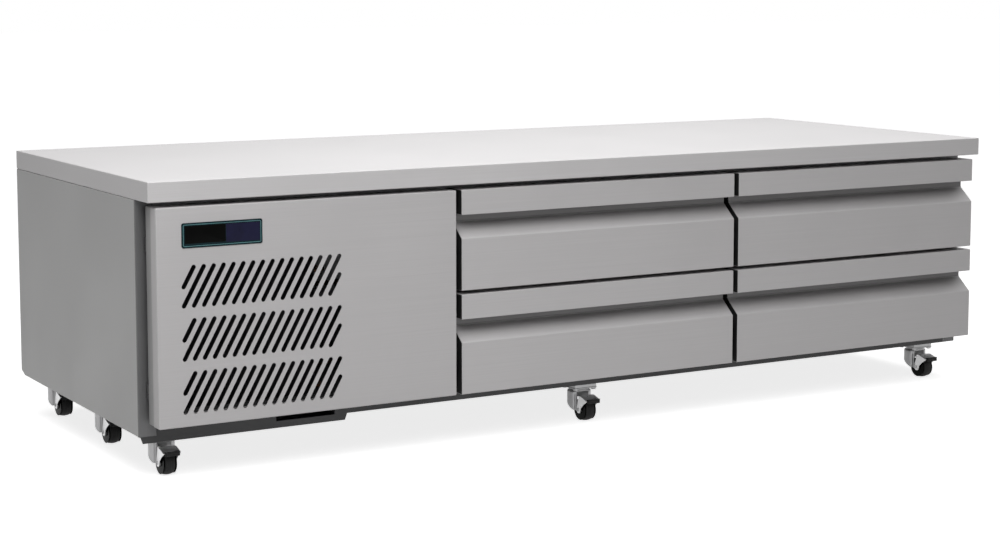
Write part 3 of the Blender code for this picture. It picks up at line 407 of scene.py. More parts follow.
low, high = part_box("condenser_coil")
end_sheet, tube_radius, tube_rows, tube_pitch = 0.0015, 0.0045, 8, 0.034
first_tube, first_bend, bend_depth = 0.013, 0.030, 0.0125
tube_y = (low.y + high.y) / 2
parts = [finned(low, high, 0.0042, 0.002)]
for x in (low.x, high.x - end_sheet):
    parts.append(bar((x, low.y, low.z), (x + end_sheet, high.y, high.z), 0.0005))
half_turn = np.linspace(-pi / 2, pi / 2, 9)
for end, way, bends, lift in ((low.x + 0.001, -1, 4, 0), (high.x - 0.001, 1, 3, tube_pitch)):
    for k in range(bends):
        z = low.z + first_bend + 2 * tube_pitch * k + lift
        arc = np.stack([end + way * bend_depth * np.cos(half_turn), np.full(9, tube_y),
                        z + tube_pitch / 2 * np.sin(half_turn)], axis=1)
        parts.append(pipe(arc, tube_radius))
for k in range(tube_rows):
    z = low.z + first_tube + tube_pitch * k
    parts.append(pipe([(low.x, tube_y, z), (high.x, tube_y, z)], tube_radius, 8))
coil = add_piece("condenser_coil_fins", *gather(*parts), black_enamel)
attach(coil, "cabinet")
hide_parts("condenser_coil")


# Condenser fan: a pressed sheet shroud with a bar across it, a black motor on the bar and a
# five-bladed aluminium fan on the motor's shaft.

def bent_sheet(outer, inner, faces):
    """A bent sheet with its thickness: both skins, and quads along every open edge."""
    count = len(outer)
    edges = {(a, b) for face in faces for a, b in zip(face, face[1:] + face[:1])}
    rim = [[b, a, a + count, b + count] for a, b in sorted(edges) if (b, a) not in edges]
    return np.concatenate([outer, inner]), faces + [[v + count for v in face[::-1]] for face in faces] + rim


def rotor(centre, radius, hub, hub_length, chord, blades=5):
    """Fan: cambered blades on a bored hub, turning about Y.

    On a blade, s runs from root to tip and c across the chord from -1/2 to 1/2. The pitch
    falls from 33 to 20 degrees, the chord grows by a third and narrows to a rounded tip as
    (1 - 0.8 s^8)^(1/2), the camber is 0.06 * (1 - 4 c^2) of the chord, and the whole blade
    sweeps forward by 0.30 * s^2 radians.
    """
    s = np.linspace(0, 1, 11)[:, None]
    c = np.linspace(-0.5, 0.5, 7)[None]
    pitch = np.radians(33 - 13 * s)
    width = chord * (0.95 + 0.35 * s) * np.sqrt(1 - 0.8 * s ** 8)
    camber = 0.06 * width * (1 - 4 * c ** 2)
    around = (c * width * np.cos(pitch) - camber * np.sin(pitch)) + 0 * s
    along = (c * width * np.sin(pitch) + camber * np.cos(pitch)) + 0 * s
    reach = 0.9 * hub + (radius - 0.9 * hub) * s + 0 * c
    reach = np.sqrt(np.maximum(reach ** 2 - around ** 2, 0))
    half_sheet = np.array((0, 0.0007, 0))
    parts = []
    for k in range(blades):
        angle = 2 * pi * k / blades + 0.30 * s ** 2
        x = reach * np.cos(angle) - around * np.sin(angle)
        z = reach * np.sin(angle) + around * np.cos(angle)
        skin = np.stack([x, along, z], axis=-1).reshape(-1, 3) + centre
        parts.append(bent_sheet(skin + half_sheet, skin - half_sheet, ring_quads(11, 7, closed=False)))
    half, bore, boss = hub_length / 2, 0.0046, 0.0085
    loop = [(bore, -half + 0.001), (0.0075, -half), (hub * 0.55, -half), (hub * 0.9, -half + 0.003),
            (hub, -half + 0.007), (hub, half - 0.001), (hub - 0.001, half), (hub - 0.003, half),
            (hub - 0.003, half - 0.008), (boss, half - 0.008), (boss, half), (bore, half)]
    parts.append((turned(loop, centre, 1, 40), torus_quads(len(loop), 40)))
    return gather(*parts)


fin_aluminium = brushed_steel("fin_aluminium", (0.60, 0.61, 0.62), 0.4, (60, 60, 900), metallic=0.7)
clad("fan_shroud", inner_steel)
low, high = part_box("condenser_fan")
motor_low, motor_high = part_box("fan_motor")
shaft = (motor_low + motor_high) / 2
fan_centre = np.array((shaft.x, (low.y + high.y) / 2, shaft.z))
blades = rotor(fan_centre, radius=0.109, hub=0.030, hub_length=0.022, chord=0.034)
fan = add_piece("condenser_fan_blades", *blades, fin_aluminium)
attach(fan, "condenser_fan_rotor")
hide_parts("condenser_fan")
motor_loop = [(0.0024, motor_low.y), (0.0040, motor_low.y + 0.0008)]
motor_loop += [(r, motor_high.y - depth) for r, depth in (
    (0.0040, 0.0550), (0.0120, 0.0550), (0.0140, 0.0530), (0.0340, 0.0520), (0.0380, 0.0480), (0.0380, 0.0310),
    (0.0368, 0.0305), (0.0368, 0.0245), (0.0380, 0.0240), (0.0380, 0.0060), (0.0345, 0.0010), (0.0100, 0))]
motor = add_piece("fan_motor_body", *solid_of_turning(motor_loop, (shaft.x, 0, shaft.z), 1, 40), black_enamel)
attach(motor, "cabinet")
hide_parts("fan_motor")


# Compressor: a deep-drawn can welded round its middle, on a foot plate with four rubber
# mounts, with a moulded terminal cover and soldered copper pipes to the condenser.

can_x, can_y, can_radius, dome_height = -0.8095, 0.0295, 0.0828, 0.046
low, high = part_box("compressor")
can_low, can_high = low.z + 0.0130, high.z
can_loop = [(r, can_low + height) for r, height in (
    (0.0600, -0.0030), (0.0740, -0.0006), (0.0805, 0.006), (can_radius, 0.016), (can_radius, 0.078),
    (0.0848, 0.0795), (0.0850, 0.0815), (0.0846, 0.084), (0.0832, 0.0855))]
can_loop += [(can_radius * cos(q), can_high - dome_height + dome_height * sin(q)) for q in np.linspace(0, 1.45, 10)]
half_foot_x, half_foot_y, mount_x, mount_y = 0.115, 0.075, 0.095, 0.055
foot = [(can_x + x * half_foot_x, can_y + y * half_foot_y) for x, y in ((-1, -1), (1, -1), (1, 1), (-1, 1))]
foot_plate = carry(foot, 0.018, low.z + 0.010, low.z + 0.013, 0.0008, (0, 1, 2), 1)[:2]
can_shell = solid_of_turning(can_loop, (can_x, can_y, 0), 2, 56)
can = add_piece("compressor_can", *gather(can_shell, foot_plate), black_enamel)
bush = [(0.0080, 0), (0.0110, 0.0014), (0.0110, 0.0040), (0.0085, 0.0052), (0.0110, 0.0064), (0.0110, 0.0095),
        (0.0060, 0.0105), (0.0060, 0.0160), (0.0045, 0.0170)]
mouldings = [solid_of_turning(bush, (can_x + x * mount_x, can_y + y * mount_y, low.z), 2, 20)
             for x in (-1, 1) for y in (-1, 1)]
cover = [(can_x + x * 0.030, can_y - 0.0950 + y) for x, y in ((-1, 0), (1, 0), (1, 0.030), (-1, 0.030))]
mouldings.append(carry(cover, 0.006, can_low + 0.020, can_low + 0.068, 0.002, (0, 1, 2))[:2])


def rubber(name, colour, roughness, speck=1400.0, shine=0.25):
    """Matt rubber or moulded plastic: a near-black colour with a fine moulded grain."""
    material, skin = fresh_material(name)
    place = shade(material, "TexCoord", {}).outputs["Object"]
    grit = shade(material, "TexNoise", {"Vector": place, "Scale": speck, "Detail": 3.0})
    wear = shade(material, "TexNoise", {"Vector": place, "Scale": 45.0, "Detail": 4.0})
    rough = stretch(material, wear, roughness - 0.08, roughness + 0.08)
    skin.inputs["Specular IOR Level"].default_value = shine
    return coat(material, skin, wear.outputs[0], colour, (0.6, 1.6), rough, grit, 0.2, 0.0002)


black_rubber = rubber("black_rubber", (0.012, 0.012, 0.012), 0.6)
copper = brushed_steel("copper", (0.24, 0.12, 0.07), 0.45, (40, 40, 40))
coil_x, coil_y, bulkhead_x = -0.673, -0.3172, -0.398
discharge = [(-0.760, can_y, 0.250), (-0.735, can_y, 0.272), (-0.735, -0.120, 0.300), (-0.640, -0.150, 0.385),
             (-0.640, coil_y, 0.3853), (coil_x - 0.004, coil_y, 0.3853)]
liquid = [(coil_x - 0.004, coil_y, 0.1473), (-0.645, coil_y, 0.1473), (-0.645, -0.200, 0.160),
          (-0.480, -0.120, 0.160), (bulkhead_x, -0.120, 0.160)]
suction = [(-0.7290, can_y, 0.170), (-0.600, can_y, 0.170), (-0.520, can_y, 0.300), (bulkhead_x, can_y, 0.300)]
runs = [pipe(rounded_path(stops, bend), radius) for stops, bend, radius in (
    (discharge, 0.012, 0.004), (liquid, 0.012, 0.0032), (suction, 0.015, 0.0055))]
pipes = add_piece("copper_pipes", *gather(*runs), copper)
mounts = add_piece("compressor_mounts", *gather(*mouldings), black_rubber)
for piece, slot in ((can, "black_enamel"), (mounts, "black_rubber"), (pipes, "fin_aluminium")):
    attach(piece, "cabinet")
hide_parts("compressor")


# Evaporator: an aluminium finned block on the cold space's back wall, with end plates and the
# boss that carries its small five-bladed fan.

low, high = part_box("evaporator")
block_depth, end_sheet = 0.060, 0.0015
front = high.y - block_depth
parts = [finned((low.x, front, low.z), (high.x, high.y, high.z), 0.0055, 0.0015)]
for x in (low.x, high.x - end_sheet):
    parts.append(bar((x, front, low.z), (x + end_sheet, high.y, high.z), 0.0005))
fan_low, fan_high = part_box("evaporator_fan")
block_middle = (low + high) / 2
cold_centre = np.array((block_middle.x, (fan_low.y + fan_high.y) / 2, block_middle.z))
boss = [(0.0100, front - 0.012), (0.0205, front - 0.012), (0.0220, front - 0.0105), (0.0220, front + 0.010),
        (0.0100, front + 0.010)]
parts.append(solid_of_turning(boss, (block_middle.x, 0, block_middle.z), 1, 32))
for z in (low.z, high.z - end_sheet):
    parts.append(bar((low.x, front, z), (high.x, high.y, z + end_sheet), 0.0005, 0))
block = add_piece("evaporator_fins", *gather(*parts), fin_aluminium)
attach(block, "cabinet")
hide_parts("evaporator")
blades = rotor(cold_centre, radius=0.075, hub=0.020, hub_length=0.014, chord=0.022)
fan = add_piece("evaporator_fan_blades", *blades, fin_aluminium)
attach(fan, "evaporator_fan_rotor")
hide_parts("evaporator_fan")


# Runner racks and drawer cradles: bent from smooth stainless sheet. Slide bars on the
# cradles run in the racks' rails.

bright_steel = brushed_steel("bright_steel", (0.55, 0.55, 0.56), 0.3, grain_along_y)
for bank in ("left", "right"):
    clad(f"{bank}_runner_rack", bright_steel)
    for level in ("upper", "lower"):
        clad(f"{level}_{bank}_cradle", bright_steel)


# Drawer fronts: foamed fronts folded from one brushed sheet, with a finger pull pressed in
# below a plain strip; the pull's walls take a darker steel as painted shade. Black caps fill
# both ends, so the gaps between the fronts show black, and a magnetic gasket sits in a
# groove at the back.

satin_steel = brushed_steel("satin_steel", (0.518, 0.506, 0.509), 0.46, grain_along_x, metallic=0.2)


def round_rectangle(left, right, low, high, radius, steps=4):
    """Points of a rectangle with quarter circles at its corners, anticlockwise."""
    angle = np.linspace(0, pi / 2, steps + 1)
    turn = (np.array([0, 1, 2, 3])[:, None] * pi / 2 + angle[None]).reshape(-1)
    centre = np.repeat([(right - radius, high - radius), (left + radius, high - radius),
                        (left + radius, low + radius), (right - radius, low + radius)], steps + 1, axis=0)
    return centre + radius * np.stack([np.cos(turn), np.sin(turn)], axis=-1)


def stepped(left, right, low, high, stops, radius, least=0.0004, steps=4):
    """Rings of one rounded rectangle: each stop draws it in and puts it at a place along Y.

    The corners tighten by as much as the ring is drawn in, down to the least radius.
    """
    return [np.insert(round_rectangle(left + inset, right - inset, low + inset, high - inset,
                                      max(least, radius - inset), steps), 1, place, axis=1)
            for inset, place in stops]


def gasket_ring(low, high):
    """A magnetic gasket: a bellows section carried round a rectangle and closed on itself.

    Each pair is how far a point of the section lies inside the ring's outer edge, and how
    far along the ring's depth from front to back, both in tenths of a millimetre.
    """
    section = [(10, 0), (110, 0), (110, 16), (85, 26), (105, 40), (85, 53), (115, 62), (115, 109), (110, 114),
               (10, 114), (5, 109), (5, 62), (35, 53), (15, 40), (35, 26), (10, 16)]
    stops = [(inset / 10000, low.y + depth / 10000) for inset, depth in section]
    rings = stepped(low.x, high.x, low.z, high.z, stops, 0.004, 0.0008, 3)
    return np.concatenate(rings), torus_quads(len(rings), len(rings[0]))


strip_height, wall_height, slope_height, pull_depth = 0.052, 0.0175, 0.0315, 0.038
cap_proud, cap_depth, rim = 0.0005, 0.004, 0.0010
bend_radii = [0.002, 0.001, 0.001, 0.002, 0.0012, 0.003, 0.006, 0.004]
# The pull's walls get this darker steel as painted shade, for the shade under the strip.
painted_shade_pull_steel = brushed_steel("painted_shade_pull_steel", (0.19, 0.186, 0.187), 0.5, grain_along_x, metallic=0.2)
for bank in ("left", "right"):
    for level in ("upper", "lower"):
        name = f"{level}_{bank}_drawer_front"
        low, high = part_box(name)
        strip = high.z - strip_height
        wall = strip - wall_height
        slope = wall - slope_height
        corners = [(low.y, low.z), (high.y, low.z), (high.y, high.z), (low.y, high.z), (low.y, strip),
                   (low.y + pull_depth, strip), (low.y + pull_depth, wall), (low.y, slope)]
        points, faces, normals = carry(corners, bend_radii, low.x + cap_proud, high.x - cap_proud, 0.0008, (1, 2, 0))
        front = add_piece(f"{level}_{bank}_front_skin", points, faces, satin_steel, normals)
        front.data.materials.append(painted_shade_pull_steel)
        middle = np.array([points[face].mean(axis=0) for face in faces])
        in_pull = (middle[:, 1] > low.y + 0.002) & (middle[:, 1] < low.y + pull_depth + 0.0002)
        in_pull &= (middle[:, 2] > wall + 0.0005) & (middle[:, 2] < strip + 0.0002)
        front.data.polygons.foreach_set("material_index", in_pull.astype(int).tolist())
        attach(front, f"{level}_{bank}_drawer")
        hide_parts(name)
        # Black caps close both ends, so the gaps between the fronts show black.
        inward = [(1, 1), (-1, 1), (-1, -1), (1, -1), (1, 1), (1, 1), (1, -0.4), (1, -0.4)]
        inside = np.array(corners) + rim * np.array(inward)
        ends = [carry(inside, np.array(bend_radii) * 0.8, x, x + cap_depth, 0.0002, (1, 2, 0), 1)[:2]
                for x in (low.x, high.x - cap_depth)]
        caps = add_piece(f"{level}_{bank}_end_caps", *gather(*ends), black_rubber)
        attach(caps, f"{level}_{bank}_drawer")
        ring = add_piece(f"{level}_{bank}_gasket_ring", *gasket_ring(*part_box(f"{level}_{bank}_gasket")), black_rubber)
        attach(ring, f"{level}_{bank}_drawer")
        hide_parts(f"{level}_{bank}_gasket")


# Vent panel: one steel sheet folded into a tray with a returned lip, hung on two lift-off
# hinges. Its face is punched with three bands of slanted slots and the controller's window,
# and the rear half of its fold takes the cabinet ends' darker steel as painted shade.

def stadiums(starts, ends, radius, steps=6):
    """Long holes with round ends: half circles swung about both ends of each line."""
    lean = np.arctan2(ends[:, 1] - starts[:, 1], ends[:, 0] - starts[:, 0])[:, None]
    half = np.linspace(-pi / 2, pi / 2, steps + 1)[None]
    angle = np.concatenate([lean + half, lean + pi + half], axis=1)
    centre = np.repeat(np.stack([ends, starts], axis=1), steps + 1, axis=1)
    return centre + radius * np.stack([np.cos(angle), np.sin(angle)], axis=-1)


def pierced(outer, holes):
    """Triangles that fill an outline around its holes, numbered through all loops in turn."""
    loops = [[(x, z, 0) for x, z in loop] for loop in [outer, *holes]]
    return np.array(geometry.tessellate_polygon(loops))


low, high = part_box("vent_panel")
panel_back, sheet, fold, lip, shaded_from = -0.3495, 0.0015, 0.0025, 0.015, 0.0284
first_slot, slot_pitch, columns, slot_radius = low.x + 0.0544, 0.0206, 16, 0.0047
bands, first_band, band_pitch, band_height = 3, 0.029, 0.1033, 0.0743
window_inset = 0.0074
slot_starts, slot_ends = [], []
for band in range(bands):
    foot = low.z + first_band + band * band_pitch
    head = foot + band_height
    column = first_slot + slot_pitch * np.arange(columns + 1)
    slot_starts += [(column[0], (foot + head) / 2), *[(x, foot) for x in column[:-2]], (column[-2], foot)]
    slot_ends += [(column[1], head), *[(x, head) for x in column[2:]], (column[-1], (foot + head) / 2)]
slots = stadiums(np.array(slot_starts), np.array(slot_ends), slot_radius)
body_low, body_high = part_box("controller")
window = round_rectangle(body_low.x + window_inset, body_high.x - window_inset, body_low.z + window_inset,
                         body_high.z - window_inset, 0.002)
stops = [(fold * (1 - cos(q)), low.y + fold * (1 - sin(q))) for q in np.linspace(pi / 2, 0, 5)]
stops += [(0, low.y + 0.0285), (0.0008, low.y + 0.0289), (0.0008, panel_back - 0.0015), (0.0023, panel_back),
          (lip, panel_back), (lip, panel_back - sheet), (0.0035, panel_back - sheet), (fold, panel_back - 0.0025),
          (fold, low.y + 0.0040), (0.0040, low.y + sheet)]
rings = stepped(low.x, high.x, low.z, high.z, stops, 0.003, 0.0005)
around = len(rings[0])
inner_start = (len(stops) - 1) * around
holes = [*slots, window]
hole_points = np.concatenate(holes)
front_hole = len(stops) * around
back_hole = front_hole + len(hole_points)
points = np.concatenate([*rings, np.insert(hole_points, 1, low.y, axis=1),
                         np.insert(hole_points, 1, low.y + sheet, axis=1)])
faces = ring_quads(len(stops), around)
for ring, ring_start, hole_start in ((rings[0], 0, front_hole), (rings[-1], inner_start, back_hole)):
    fill = pierced(ring[:, [0, 2]], holes)
    faces += np.where(fill < around, fill + ring_start, fill - around + hole_start).tolist()
offset = 0
for hole in holes:
    k = np.arange(len(hole))
    j = (k + 1) % len(hole)
    wall = np.stack([k + front_hole, j + front_hole, j + back_hole, k + back_hole], axis=1)
    faces += (wall + offset).tolist()
    offset += len(hole)
panel = add_piece("vent_panel_skin", points, faces, satin_steel, bend=30)
# Faces of the fold's rear half take the ends' darker steel: painted shade.
panel.data.materials.append(side_steel)
shaded = [int(points[face][:, 1].min() > low.y + shaded_from) for face in faces]
panel.data.polygons.foreach_set("material_index", shaded)
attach(panel, "vent_door")
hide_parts("vent_panel")
for place, start in hinge_bottoms:
    loop = [(0.0026, 0.0003), (0.0026, 0.0197), (0.0034, 0.0200), (barrel, 0.0194), (barrel, 0.0006), (0.0034, 0)]
    knuckle = (turned(loop, (hinge_x, hinge_y, start), 2, 20), torus_quads(len(loop), 20))
    web = bar((hinge_x - half_leaf, panel_back - 0.0005, start),
              (hinge_x + half_leaf, hinge_y - 0.0030, start + 0.020), 0.0003)
    moving = add_piece(f"hinge_barrel_{place}", *gather(knuckle, web), black_enamel)
    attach(moving, "vent_door")


# Temperature controller: a moulded bezel clipped into the vent panel's window, dark blue with
# a thin teal line round it, a black display window on the left and a bare plate on the right.

def plate(left, right, low, high, radius, stops):
    """A closed moulding of rings on a rounded rectangle, the first and the last filled flat."""
    rings = stepped(left, right, low, high, stops, radius)
    return np.concatenate(rings), tube_faces(len(rings), len(rings[0]))


dark_plastic = rubber("dark_plastic", (0.003, 0.016, 0.020), 0.35, 400.0, 0.1)
navy_plate = rubber("navy_plate", (0.010, 0.010, 0.032), 0.35, 400.0, 0.1)
teal_line = rubber("teal_line", (0.10, 0.23, 0.24), 0.4, 400.0)
black_gloss = rubber("black_gloss", (0.0012, 0.0014, 0.0012), 0.15, 400.0, 0.04)
low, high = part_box("controller")
face, width, body_inset = low.y, high.x - low.x, 0.008
bezel = plate(low.x, high.x, low.z, high.z, 0.004, [
    (0.0003, -0.4063), (0, -0.4066), (0, face + 0.0009), (0.0005, face + 0.0002), (0.0012, face), (0.0022, face),
    (0.0026, face + 0.0004)])
body = plate(low.x + body_inset, high.x - body_inset, low.z + body_inset, high.z - body_inset, 0.002,
             [(0, -0.4070), (0, high.y - 0.001), (0.001, high.y)])
shell = add_piece("controller_bezel", *gather(bezel, body), dark_plastic)
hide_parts("controller")
stops = [(inset, face + depth) for inset, depth in (
    (0.0030, 0.0005), (0.0030, 0.0002), (0.0033, 0), (0.0039, 0), (0.0042, 0.0002), (0.0042, 0.0005))]
loops = stepped(low.x, high.x, low.z, high.z, stops, 0.0065, steps=5)
line = add_piece("controller_line", np.concatenate(loops), torus_quads(len(loops), len(loops[0])), teal_line)
flush = [(0, face + 0.0006), (0, face + 0.0002), (0.0004, face + 0.0001)]
glass = plate(low.x + 0.0065, low.x + 0.54 * width, low.z + 0.0085, high.z - 0.0060, 0.0015, flush)
window = add_piece("controller_window", *glass, black_gloss)
bare = plate(low.x + 0.545 * width, high.x - 0.0058, low.z + 0.0070, high.z - 0.0058, 0.0015, flush)
plain = add_piece("controller_plate", *bare, navy_plate)
for piece in (shell, line, window, plain):
    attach(piece, "vent_door")


# Worktop: a thick folded steel top with a board core, full length, flush with the cabinet's
# ends and back. Its edges are pressed to a small radius and ground smooth.

# The worktop's steel is lighter than the fronts' as painted light, for the light falling on the top.
painted_light_top_steel = brushed_steel("painted_light_top_steel", (0.590, 0.578, 0.581), 0.50, grain_along_x, metallic=0.2)
low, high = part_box("worktop")
corners = [(low.y, low.z), (high.y, low.z), (high.y, high.z), (low.y, high.z)]
points, faces, normals = carry(corners, fold_radius, low.x, high.x, pressed_edge, (1, 2, 0))
top = add_piece("worktop_skin", points, faces, painted_light_top_steel, normals)
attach(top, "cabinet")
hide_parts("worktop")


# Castors: bolted plate with a riveted ball race, a pressed zinc hood over a black rubber
# wheel, and a brake of two zinc arms with a black pedal. They are bought in and bolted below
# the base; away from the tray a packer fills its height.

def hood_skin(draw_in, crown, rounding):
    """One skin of the castor's hood, from the right leg's eye round the back to the left leg's.

    In plan the legs run straight back at half the fork's width, flare along a cubic curve
    b(t) and go round the swivel axis in a circle; the skin lies draw_in inside that path.
    At each place of the path a column of points rises evenly from the lower edge, which is
    the eye's circle and then a straight slope, to the leg's sloping top or the rounding.
    Above it the path draws in by rounding * (1 - cos q) and rises by rounding * sin q to
    the flat crown. All is in millimetres from the swivel axis and the floor.
    """
    half_fork, swivel_radius, eye_radius, axle_y, axle_z = 16.5, 26.2, 8.5, -25, 25
    leg = np.array([-33.4, -33.0, -32.0, -30.0, -27.5, -25.0, -22.0, -19.5, -16.3, -16.1, hood_front])
    t = np.linspace(0, 1, 7)[1:, None]
    turn = np.radians(np.linspace(-26.0, 90.0, 13))[1:]
    a, b, c, d = np.array([[half_fork, hood_front], [half_fork, -12.6], [22.2, -14.2], [23.55, -11.49]])
    flare = (1 - t) ** 3 * a + 3 * t * (1 - t) ** 2 * b + 3 * t * t * (1 - t) * c + t ** 3 * d
    half = np.concatenate([np.stack([np.full(len(leg), half_fork), leg], axis=1), flare,
                           swivel_radius * np.stack([np.cos(turn), np.sin(turn)], axis=1)])
    path = np.concatenate([half, half[-2::-1] * (-1, 1)])
    along = np.gradient(path, axis=0)
    out = np.stack([along[:, 1], -along[:, 0]], axis=1) / np.linalg.norm(along, axis=1, keepdims=True)
    y = path[:, 1]
    eye = axle_z - np.sqrt(np.maximum(eye_radius ** 2 - (y - axle_y) ** 2, 0))
    low = np.where(y < -19, eye, 19 + 0.569 * (y + 19))
    high = np.where(y < -16.2, 25 + (y + 33.5) * 0.62, crown - rounding)
    points = [np.column_stack([path - out * draw_in, low + (high - low) * v]) for v in np.linspace(0, 1, 6)]
    columns = len(path)
    faces = ring_quads(6, columns, closed=False)
    first, last = len(leg) - 1, columns - len(leg) + 1
    under, base = np.arange(first, last) + 5 * columns, 6 * columns
    for q in np.linspace(0, pi / 2, 5)[1:]:
        points.append(np.column_stack([path - out * (draw_in + rounding * (1 - cos(q))),
                                       np.full(columns, crown - rounding + rounding * sin(q))])[first:last])
        upper = np.arange(base, base + last - first)
        faces += np.stack([under[:-1], under[1:], upper[1:], upper[:-1]], axis=1).tolist()
        under, base = upper, base + last - first
    faces.append(under.tolist())
    return np.concatenate(points) / 1000, faces


castors = {"front_left": (-0.981, -0.276), "middle_left": (-0.981, 0.038), "back_left": (-0.981, 0.352),
           "front_middle": (0.0, -0.276), "back_middle": (0.0, 0.352),
           "front_right": (0.981, -0.276), "back_right": (0.981, 0.352)}
hood_front = -14.6
axle = (0.0, -0.025, 0.025)
half_plate, plate_low, plate_high, bolt_place = 0.030, 0.0712, 0.0737, 0.023
packer_low, packer_high = 0.0734, 0.0877
plate_square = [(x * half_plate, y * half_plate) for x, y in ((-1, -1), (1, -1), (1, 1), (-1, 1))]
race = [(0.0135, 0.0656), (0.0176, 0.0656), (0.0190, 0.0665), (0.0190, 0.0676), (0.0176, 0.0679), (0.0176, 0.0684),
        (0.0190, 0.0687), (0.0190, 0.0699), (0.0172, 0.0713)]
king_pin = [(0.0030, 0.0599), (0.0058, 0.0603), (0.0070, 0.0612), (0.0070, 0.0619), (0.0040, 0.0620),
            (0.0040, 0.0660)]
bolt = [(0.0044, 0.0672), (0.0054, 0.0676), (0.0054, 0.0703), (0.0068, 0.0704), (0.0068, 0.0713)]
mount_parts = [carry(plate_square, 0.006, plate_low, plate_high, 0.0005, (0, 1, 2), 1)[:2],
               solid_of_turning(race, (0, 0, 0), 2, 40), solid_of_turning(king_pin, (0, 0, 0), 2, 24)]
mount_parts += [solid_of_turning(bolt, (x, y, 0), 2, 12) for x in (-bolt_place, bolt_place)
                for y in (-bolt_place, bolt_place)]
packer_square = [(x * 0.95, y * 0.95) for x, y in plate_square]
packer = carry(packer_square, 0.004, packer_low, packer_high, 0.0004, (0, 1, 2), 1)[:2]
outer_skin, hood_faces = hood_skin(0.0, 65.0, 3.0)
inner_skin, _ = hood_skin(2.0, 62.5, 1.0)
rivet = [(0.0024, -0.0180), (0.0026, -0.0193), (0.0033, -0.0195), (0.0040, -0.0190),
         (0.0040, 0.0190), (0.0033, 0.0195), (0.0026, 0.0193), (0.0024, 0.0180)]
fork_parts = gather(bent_sheet(outer_skin, inner_skin, hood_faces), solid_of_turning(rivet, axle, 0, 16))

tread, crown_drop, groove_depth = 0.0250, 0.0012, 0.0004
grooves = ((0.0, 0), (0.0018, 0), (0.0022, 1), (0.0030, 1), (0.0034, 0), (0.0056, 0), (0.0060, 1), (0.0068, 1),
           (0.0072, 0))
half_tread = [(tread - crown_drop * (x / 0.0084) ** 2 - groove_depth * cut, x) for x, cut in grooves]
half_tread += [(0.0215 + 0.0023 * cos(q), 0.0084 + 0.0022 * sin(q)) for q in np.linspace(0, pi / 2, 6)]
half_tread += [(0.0212, 0.0100)]
tread_loop = [(r, -x) for r, x in half_tread[:0:-1]] + half_tread
tread_parts = turned(tread_loop, axle, 0, 64), torus_quads(len(tread_loop), 64)
half_hub = [(0.0214, 0.0098), (0.0213, 0.0108), (0.0205, 0.0112), (0.0190, 0.0110), (0.0175, 0.0098),
            (0.0110, 0.0092), (0.0095, 0.0108), (0.0080, 0.0120), (0.0076, 0.0126), (0.0043, 0.0126)]
hub_loop = [(r, -x) for r, x in half_hub[::-1]] + half_hub
hub_parts = turned(hub_loop, axle, 0, 48), torus_quads(len(hub_loop), 48)
# The black guard discs beside the wheel also stand in for the shade in the hood's side openings: partly a real guard,
# partly painted shade.
guard_and_shade = [(0.0060, 0.0129), (0.0225, 0.0129), (0.0232, 0.0133), (0.0232, 0.0138), (0.0060, 0.0144)]
guard_and_shade_parts = gather(*[(turned([(r, side * x) for r, x in guard_and_shade], axle, 0, 48), torus_quads(len(guard_and_shade), 48))
                       for side in (-1, 1)])


def about_axle(corners, radii, start, end, edge, steps=3):
    """A plate across the wheel, its outline given in millimetres behind and above the axle."""
    places = [(axle[1] + y / 1000, axle[2] + z / 1000) for y, z in corners]
    return carry(places, radii, start, end, edge, (1, 2, 0), steps)[:2]


arm_middle, half_arm = 0.01765, 0.00085
arm = [(-7.5, -7.5), (7.5, -7.5), (-1.8, 31.2), (-10.0, 31.2), (-33.0, 24.3), (-33.0, 21.8), (-21.0, 14.0),
       (-10.5, 4.0)]
arm_radii = [0.0066, 0.0066, 0.0015, 0.004, 0.0008, 0.0008, 0.008, 0.004]
web = [(-33.0, 22.6), (-10.0, 29.5), (-1.8, 29.5), (-1.8, 31.2), (-10.0, 31.2), (-33.0, 24.3)]
web_radii = [0.0003, 0.002, 0.0003, 0.0003, 0.004, 0.0003]
arms = [about_axle(arm, arm_radii, side * arm_middle - half_arm, side * arm_middle + half_arm, 0.0003, 1)
        for side in (-1, 1)]
arm_parts = gather(*arms, about_axle(web, web_radii, -0.0170, 0.0170, 0.0002, 1))
pedal = [(-38.0, 18.0), (-30.2, 20.0), (-30.2, 26.4), (-38.0, 28.5), (-38.0, 26.4), (-37.3, 25.9), (-37.3, 25.0),
         (-38.0, 24.5), (-38.0, 22.6), (-37.3, 22.1), (-37.3, 21.2), (-38.0, 20.7)]
pedal_radii = [0.0009, 0.0012, 0.0012, 0.0009] + [0.0002] * 8
pedal_parts = about_axle(pedal, pedal_radii, -0.0150, 0.0150, 0.0012)

# Mounts and hoods take the darker zinc, painted shade.
for name, (x, y) in castors.items():
    castor = f"{name}_castor"
    mount = gather(*mount_parts) if name.endswith("left") else gather(*mount_parts, packer)
    for part, (points, faces), finish, body, bend in (
            ("mount", mount, painted_shade_zinc, "cabinet", 35),
            ("fork", fork_parts, painted_shade_zinc, f"{castor}_swivel_body", 50),
            ("wheel", tread_parts, black_rubber, f"{castor}_wheel_body", 35),
            ("hub", hub_parts, black_gloss, f"{castor}_wheel_body", 35),
            ("guard_and_shade", guard_and_shade_parts, black_gloss, f"{castor}_swivel_body", 35),
            ("brake", arm_parts, bright_zinc, f"{castor}_brake_body", 40),
            ("pedal", pedal_parts, black_rubber, f"{castor}_brake_body", 40)):
        piece = add_piece(f"{castor}_{part}_skin", points + (x, y, 0), faces, finish, bend=bend)
        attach(piece, body)
        if part not in ("hub", "guard_and_shade", "pedal"):
            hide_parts(f"{castor}_{part}")


# Studio: a pale floor that shows white with a soft shadow, a white surround, and broad soft
# lamps. The camera stands where the photograph was taken from.

